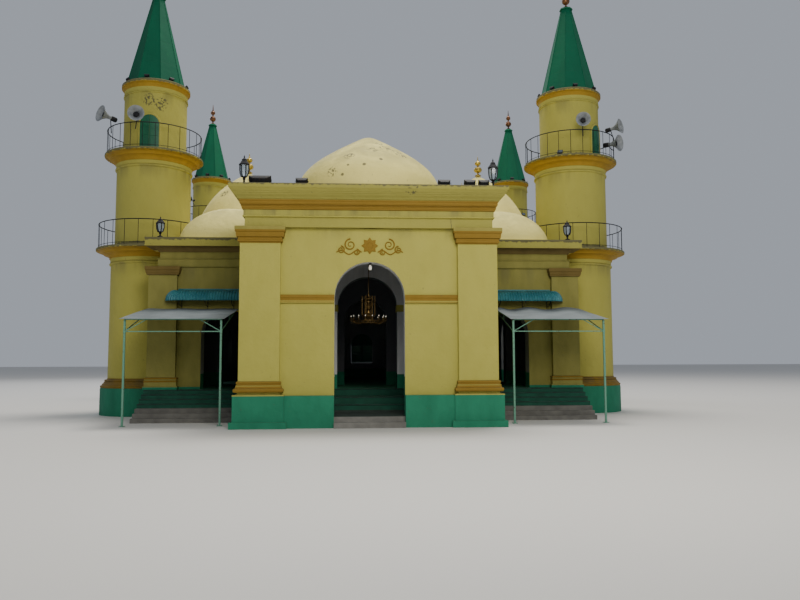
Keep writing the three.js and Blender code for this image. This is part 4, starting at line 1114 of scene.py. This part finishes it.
# Awnings over the side doorways: corrugated sheet metal painted teal, bent outwards over
# iron brackets, its outer end rounded, with a flashing strip against the wall.
teal = mottled("teal_paint", (0.014, 0.14, 0.175), (0.04, 0.21, 0.24), (3, EVEN, 6), 0.55, 0.2,
               [((25,), 0.001)], 0.45, 0.1)
RIPPLE, RIPPLE_PITCH = 0.022, 0.1
AWNING_START, AWNING_CORNER, AROUND = 3.965, 6.70, 0.9
for word, side in (("left", -1), ("right", 1)):
    node = f"awning_{word}"
    straight = AWNING_CORNER - AWNING_START
    along = np.linspace(0, 1, 330) * (straight + AROUND)
    quarter = np.clip((along - straight) / AROUND, 0, 1) * math.pi / 2
    skins = []
    for thick in (0, 0.004):
        rows = []
        for part in np.linspace(0.02, 1, 12):
            tilt = part * math.pi / 2
            reach = 0.06 + 0.56 * math.sin(tilt) - thick
            end = 6.99 if reach <= 0.2 else 7.0 + 0.72 * (reach - 0.06)
            back = min(reach, 0.21)
            ripple = RIPPLE * np.cos(2 * math.pi * along / RIPPLE_PITCH) * min(1, 3 * part)
            bent = AWNING_CORNER + (end - AWNING_CORNER) * np.sin(quarter)
            x = np.where(along < straight, AWNING_START + along, bent)
            y = HALL_FRONT - back - (reach - back + ripple * math.sin(tilt)) * np.cos(quarter)
            z = 4.70 - 0.41 * (1 - math.cos(tilt)) - thick + ripple * math.cos(tilt)
            rows.append(np.stack([side * x, y, z], 1))
        skins.append(np.array(rows))
    top, under = skins
    rings = np.concatenate([top, under[::-1]], 0).transpose(1, 0, 2)
    piece(f"{node}_sheet", Shape().loft(rings, "strip"), teal, 60, [node])
brackets, flashing = Shape(), Shape()
FLASHING = [(0.0, 4.70), (0.06, 4.705), (0.065, 4.715), (0.02, 4.73), (0.012, 4.76), (0.0, 4.765)]
wall = HALL_FRONT - 0.005
for side in (-1, 1):
    inner, outer = sorted((side * 3.97, side * 6.98))
    flashing.run([(inner, HALL_FRONT), (outer, HALL_FRONT)], FLASHING)
    for x in (4.05, 4.95, 5.9, 6.85):
        bend = np.linspace(0, math.pi / 2, 9)
        reach, rise = 0.55 * np.sin(bend), 0.18 * (1 - np.cos(bend))
        brackets.tube(np.stack([side * x + 0 * bend, wall - reach, 4.10 + rise], 1), 0.012, 6)
        brackets.tube([(side * x, wall, 4.02), (side * x, wall, 4.66)], 0.012, 6)
        strut = [(wall, 4.62), (wall - 0.30, 4.58), (wall - 0.55, 4.28)]
        brackets.tube([(side * x, y, z) for y, z in strut], 0.012, 6)
piece("awning_brackets", brackets, iron)
piece("awning_flashings", flashing, teal)


# Canopies before the side doorways: square steel tube painted pale green, with foot plates
# and clamps, carrying a grey tarpaulin that sags between the rails.
post_paint = mottled("pale_green_paint", (0.12, 0.30, 0.21), (0.07, 0.05, 0.035), (18, EVEN, 6), 0.64, 0.04,
                     [((30,), 0.001)], 0.5, 0.1)
recoat(post_paint, "canopy_frame_left", "canopy_frame_right")
tarpaulin = mottled("grey_tarpaulin", (0.165, 0.195, 0.215), (0.11, 0.135, 0.15), (1.4, EVEN, 6), 0.5, 0.25,
                    [((4,), 0.02), ((140, EVEN, 2), 0.001)], 0.7)
plates = Shape()
PLATE_HALF, CLAMP_HALF, BOLT_INSET = 0.09, 0.037, 0.065
BOLT = [(0, 0), (0.012, 0), (0.012, 0.014), (0.009, 0.018), (0, 0.018)]
y = PLINTH + 1.35
for x in (-7.90, -4.82, 4.82, 7.90):
    plates.block((x - PLATE_HALF, y - PLATE_HALF, 0), (x + PLATE_HALF, y + PLATE_HALF, 0.01), 0.003)
    plates.block((x - CLAMP_HALF, y - CLAMP_HALF, 3.0), (x + CLAMP_HALF, y + CLAMP_HALF, 3.1), 0.004)
    for bolt_x in (x - BOLT_INSET, x + BOLT_INSET):
        for bolt_y in (y - BOLT_INSET, y + BOLT_INSET):
            plates.turned(BOLT, (bolt_x, bolt_y, 0.01), sides=6)
piece("canopy_foot_plates", plates, post_paint)
for word, side, sag in (("left", -1, 0.02), ("right", 1, 0.085)):
    node = f"canopy_sheet_{word}"
    low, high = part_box(node)
    across, along = np.meshgrid(np.linspace(0, 1, 60), np.linspace(0, 1, 44))
    x = low.x + 0.01 + (high.x - low.x - 0.02) * across
    y = low.y + 0.01 + (high.y - low.y - 0.02) * along
    climb = high.z - low.z - 0.014
    folds = 2 * math.pi * (2.6 * across ** 0.8 + 0.12 * np.sin(5 * along)) - 0.9
    z = low.z + 0.008 + climb * along + sag * (0.5 + 0.5 * np.cos(folds)) * along ** 0.8
    skins = [np.stack([x, y, z + thick], -1) for thick in (0.001, -0.001)]
    rings = np.concatenate([skins[0], skins[1][:, ::-1]], 1)
    sheet = piece(f"{node}_cloth", Shape().loft(rings, "strip"), tarpaulin, 80, [node])


# Chandelier of dulled brass on a thin rod from the dome: a turned body with a bowl, a ring
# with candle lamps on curved arms, and six upright tubes round the body.
brass = mottled("brass", (0.19, 0.12, 0.04), (0.10, 0.065, 0.025), (9, EVEN, 6), 0.55, 0.2,
                [((12,), 0.001)], 0.4, 0.9)
candle_white = mottled("candle_white", (0.75, 0.74, 0.70), (0.62, 0.61, 0.56), (8,), 0.5, 0.3, roughness=0.4,
                       sockets=[("Emission Color", (1.0, 0.9, 0.7, 1)), ("Emission Strength", 0.35)])
low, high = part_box("chandelier")
axis = ((low.x + high.x) / 2, (low.y + high.y) / 2, 0)
hook = high.z - 0.01
chandelier, candles = Shape(), Shape()
BODY = [
    (0, 3.39), (0.03, 3.40), (0.05, 3.43), (0.03, 3.46), (0.12, 3.50), (0.22, 3.57), (0.25, 3.64),
    (0.20, 3.68), (0.08, 3.72), (0.06, 3.80), (0.10, 3.86), (0.13, 3.93), (0.10, 4.0), (0.05, 4.06),
    (0.05, 4.14), (0.16, 4.18), (0.18, 4.22), (0.10, 4.26), (0.04, 4.30), (0.03, 4.38), (0, 4.38),
]
ROD = [(0, 4.36), (0.012, 4.36), (0.012, hook - 0.07), (0.08, hook - 0.04), (0.10, hook), (0, hook)]
chandelier.turned(BODY, axis, sides=36)
chandelier.turned(ROD, axis, sides=12)
for radius, height, thick in ((0.60, 3.44, 0.012), (0.60, 3.37, 0.007), (0.24, 4.10, 0.010)):
    chandelier.hoop(axis, radius, height, thick)
ARMS, RODS = 16, 6
DISH = [(0, 0), (0.012, 0), (0.012, 0.03), (0.045, 0.05), (0.048, 0.06), (0.02, 0.062), (0, 0.062)]
SLEEVE = [(0, 0.06), (0.012, 0.06), (0.012, 0.14), (0, 0.14)]
FLAME = [(0, 0.14), (0.007, 0.14), (0.012, 0.152), (0.013, 0.162), (0.008, 0.18), (0.003, 0.19), (0, 0.191)]
part = np.linspace(0, 1, 14)
for arm in range(ARMS):
    turn = 2 * math.pi * (arm + 0.5) / ARMS
    height = 3.58 - 0.17 * np.sin(math.pi * part ** 0.8) - 0.12 * part
    chandelier.tube(np.stack(about(axis, 0.10 + 0.50 * part, turn, height), 1), 0.010, 6)
    spot = about(axis, 0.61, turn, 3.44)
    chandelier.turned(DISH, spot, sides=10)
    chandelier.turned(SLEEVE, spot, sides=8)
    candles.turned(FLAME, spot, sides=10)
for rod in range(RODS):
    x, y, _ = about(axis, 0.22, math.radians(5) + 2 * math.pi * rod / RODS, 0)
    chandelier.tube([(x, y, 3.66), (x, y, 4.28)], 0.02, 10)
    chandelier.turned([(0, 4.27), (0.026, 4.27), (0.026, 4.30), (0, 4.32)], (x, y, 0), sides=10)
piece("chandelier_brass", chandelier, brass, 40, ["chandelier"])
piece("chandelier_candles", candles, candle_white)
BULB_PLACE = (0.02, PLINTH + 0.66, 0)
BULB = [
    (0, 5.00), (0.030, 5.005), (0.048, 5.03), (0.05, 5.08), (0.04, 5.12), (0.028, 5.15), (0.026, 5.17),
    (0, 5.17),
]
HOLDER = [(0, 5.16), (0.032, 5.16), (0.034, 5.205), (0.05, 5.21), (0.05, 5.232), (0, 5.232)]
piece("arch_bulb", Shape().turned(BULB, BULB_PLACE, sides=20), candle_white)
piece("arch_bulb_holder", Shape().turned(HOLDER, BULB_PLACE, sides=16), iron)


# Steps: the upper ones are painted green, the lower ones are bare grey stone. The green is darkened
# and the nosings are near black: painted shade. In the porch, a band of steps where the stone meets
# the green is painted near black: painted deep shade.
# The step green is darkened as painted shade, and the third colour is a near-black green-grey: painted deep
# shade.
SHADED_STEP_GREEN, STEP_STONE, STEP_DEEP_SHADE = (0.006, 0.085, 0.05), (0.16, 0.155, 0.14), (0.03, 0.05, 0.04)


def step_paint(name, below, change, above):
    """Steps in one finish below a height and in another above it, worn in patches."""
    coat = Finish(name)
    patchy = coat.over(coat.noise(3, detail=6), 0.5, 0.25)
    low_part = coat.blend(patchy, below, dimmed(below, 0.64))
    high_part = coat.blend(patchy, above, dimmed(above, 0.64))
    colour = coat.blend(coat.over(coat.z, change, 0.004), low_part, high_part)
    return coat.finish(colour, [(coat.noise(10), 0.006), (coat.noise(70), 0.001)])


recoat(step_paint("side_step_paint", STEP_STONE, 0.458, SHADED_STEP_GREEN), "front_steps_left", "front_steps_right")
recoat(step_paint("porch_step_paint", STEP_DEEP_SHADE, 0.40, SHADED_STEP_GREEN), "porch_green_steps")
recoat(step_paint("stone_step_finish", (0.21, 0.205, 0.185), 0.335, STEP_DEEP_SHADE), "porch_stone_steps")
# Near-black nosings: painted shade along the tread edges.
nosing_shade_paint = mottled("nosing_shade_paint", (0.003, 0.025, 0.017), (0.005, 0.055, 0.035), (6, EVEN, 6), 0.5, 0.15,
                       [((20,), 0.003)], 0.7)
nosings = Shape()
SIDE_RISE, SIDE_GOING, SIDE_FOOT = 1.06 / 7, 0.25, PLINTH + 2.60
PORCH_NOSINGS = ((2.50, 0.5867), (2.90, 0.8233), (4.30, 1.06))


def nosing(ends, front, top):
    """A half-round nosing along the upper edge of a step."""
    nosings.run([(end, front) for end in sorted(ends)], roll(0.0, top - 0.035, top + 0.004, 0.018, 6))


for side in (-1, 1):
    for riser in range(3, 7):
        nosing((side * 4.06, side * 8.02), SIDE_FOOT + riser * SIDE_GOING, (riser + 1) * SIDE_RISE)
for back, top in PORCH_NOSINGS:
    nosing((-3.44, 3.44), PLINTH + back, top)
piece("step_nosings", nosings, nosing_shade_paint)


# Windows: upright iron bars let into the jambs, and behind them a pair of closed wooden
# louvred shutters under a fixed board that fills the arch's head.
bars = Shape()


def window_bars(x, y, along_x):
    """Upright bars and three cross bars in a round-arched opening."""
    def at(across, z):
        return (x + across, y, z) if along_x else (x, y + across, z)
    for across in np.linspace(-0.52, 0.52, 9):
        bars.tube([at(across, 1.96), at(across, 3.07 + math.sqrt(0.65 ** 2 - across ** 2))], 0.011, 6)
    for z in (2.1, 2.65, 3.08):
        bars.tube([at(-0.65, z), at(0.65, z)], 0.014, 6)


leaves, boards = Shape(), Shape()
STILE = 0.07


def shutters(x, y, along_x, outward):
    """A pair of closed louvred leaves with sloping slats, and a ribbed board in the arch's head."""
    turn = Matrix.Translation((x, y, 0)) @ Matrix.Rotation(0 if along_x else math.pi / 2, 4, "Z")
    turned = np.array(turn.to_3x3())

    def on_wall(points):
        return np.asarray(points, float) @ turned.T + np.array([x, y, 0])

    for way in (-1, 1):
        near, far = sorted((way * 0.006, way * 0.645))
        stiles = [(near, near + STILE), (far - STILE, far)]
        frames = [(*stile, 1.965, 3.07) for stile in stiles]
        frames += [(near + STILE, far - STILE, *rail) for rail in ((1.965, 2.05), (2.50, 2.57), (2.99, 3.07))]
        for low_x, high_x, low_z, high_z in frames:
            leaves.block((low_x, -0.02, low_z), (high_x, 0.02, high_z), 0.003, turn)
        for slat in np.concatenate([np.linspace(2.075, 2.475, 11), np.linspace(2.595, 2.965, 10)]):
            section = [(0.02 * s, 0.024 * t) for s, t in ((-1, -1), (1, 0.7), (1, 1), (-1, -0.7))]
            ends = (near + STILE - 0.005, far - STILE + 0.005)
            leaves.loft([on_wall([(end, outward * out, slat + up) for out, up in section]) for end in ends])
    arch = [(0.66 * math.cos(a), 3.072 + 0.655 * math.sin(a)) for a in np.linspace(0, math.pi, 25)]
    boards.loft([on_wall([(px, out, pz) for px, pz in arch]) for out in (-0.015, 0.015)])
    for a in np.linspace(0, math.pi, 7)[1:-1]:
        ends = ((0.08, 0.08), (0.64, 0.63))
        rib = [(across * math.cos(a), -0.018 * outward, 3.08 + up * math.sin(a)) for across, up in ends]
        boards.tube(on_wall(rib), 0.012, 6)


for x in (-5.21, 0, 5.21):
    window_bars(x, HALL_BACK - 0.12, True)
    shutters(x, HALL_BACK - 0.35, True, -1)
for side in (-1, 1):
    for shift in (-3.1, 3.1):
        window_bars(side * 7.56, PLINTH + 13.5 + shift, False)
        shutters(side * 7.33, PLINTH + 13.5 + shift, False, side)
piece("window_bars", bars, iron)
piece("window_shutter_leaves", leaves, door_paint)
piece("window_head_boards", boards, door_paint)


# Bounds of the finished building.
low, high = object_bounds()
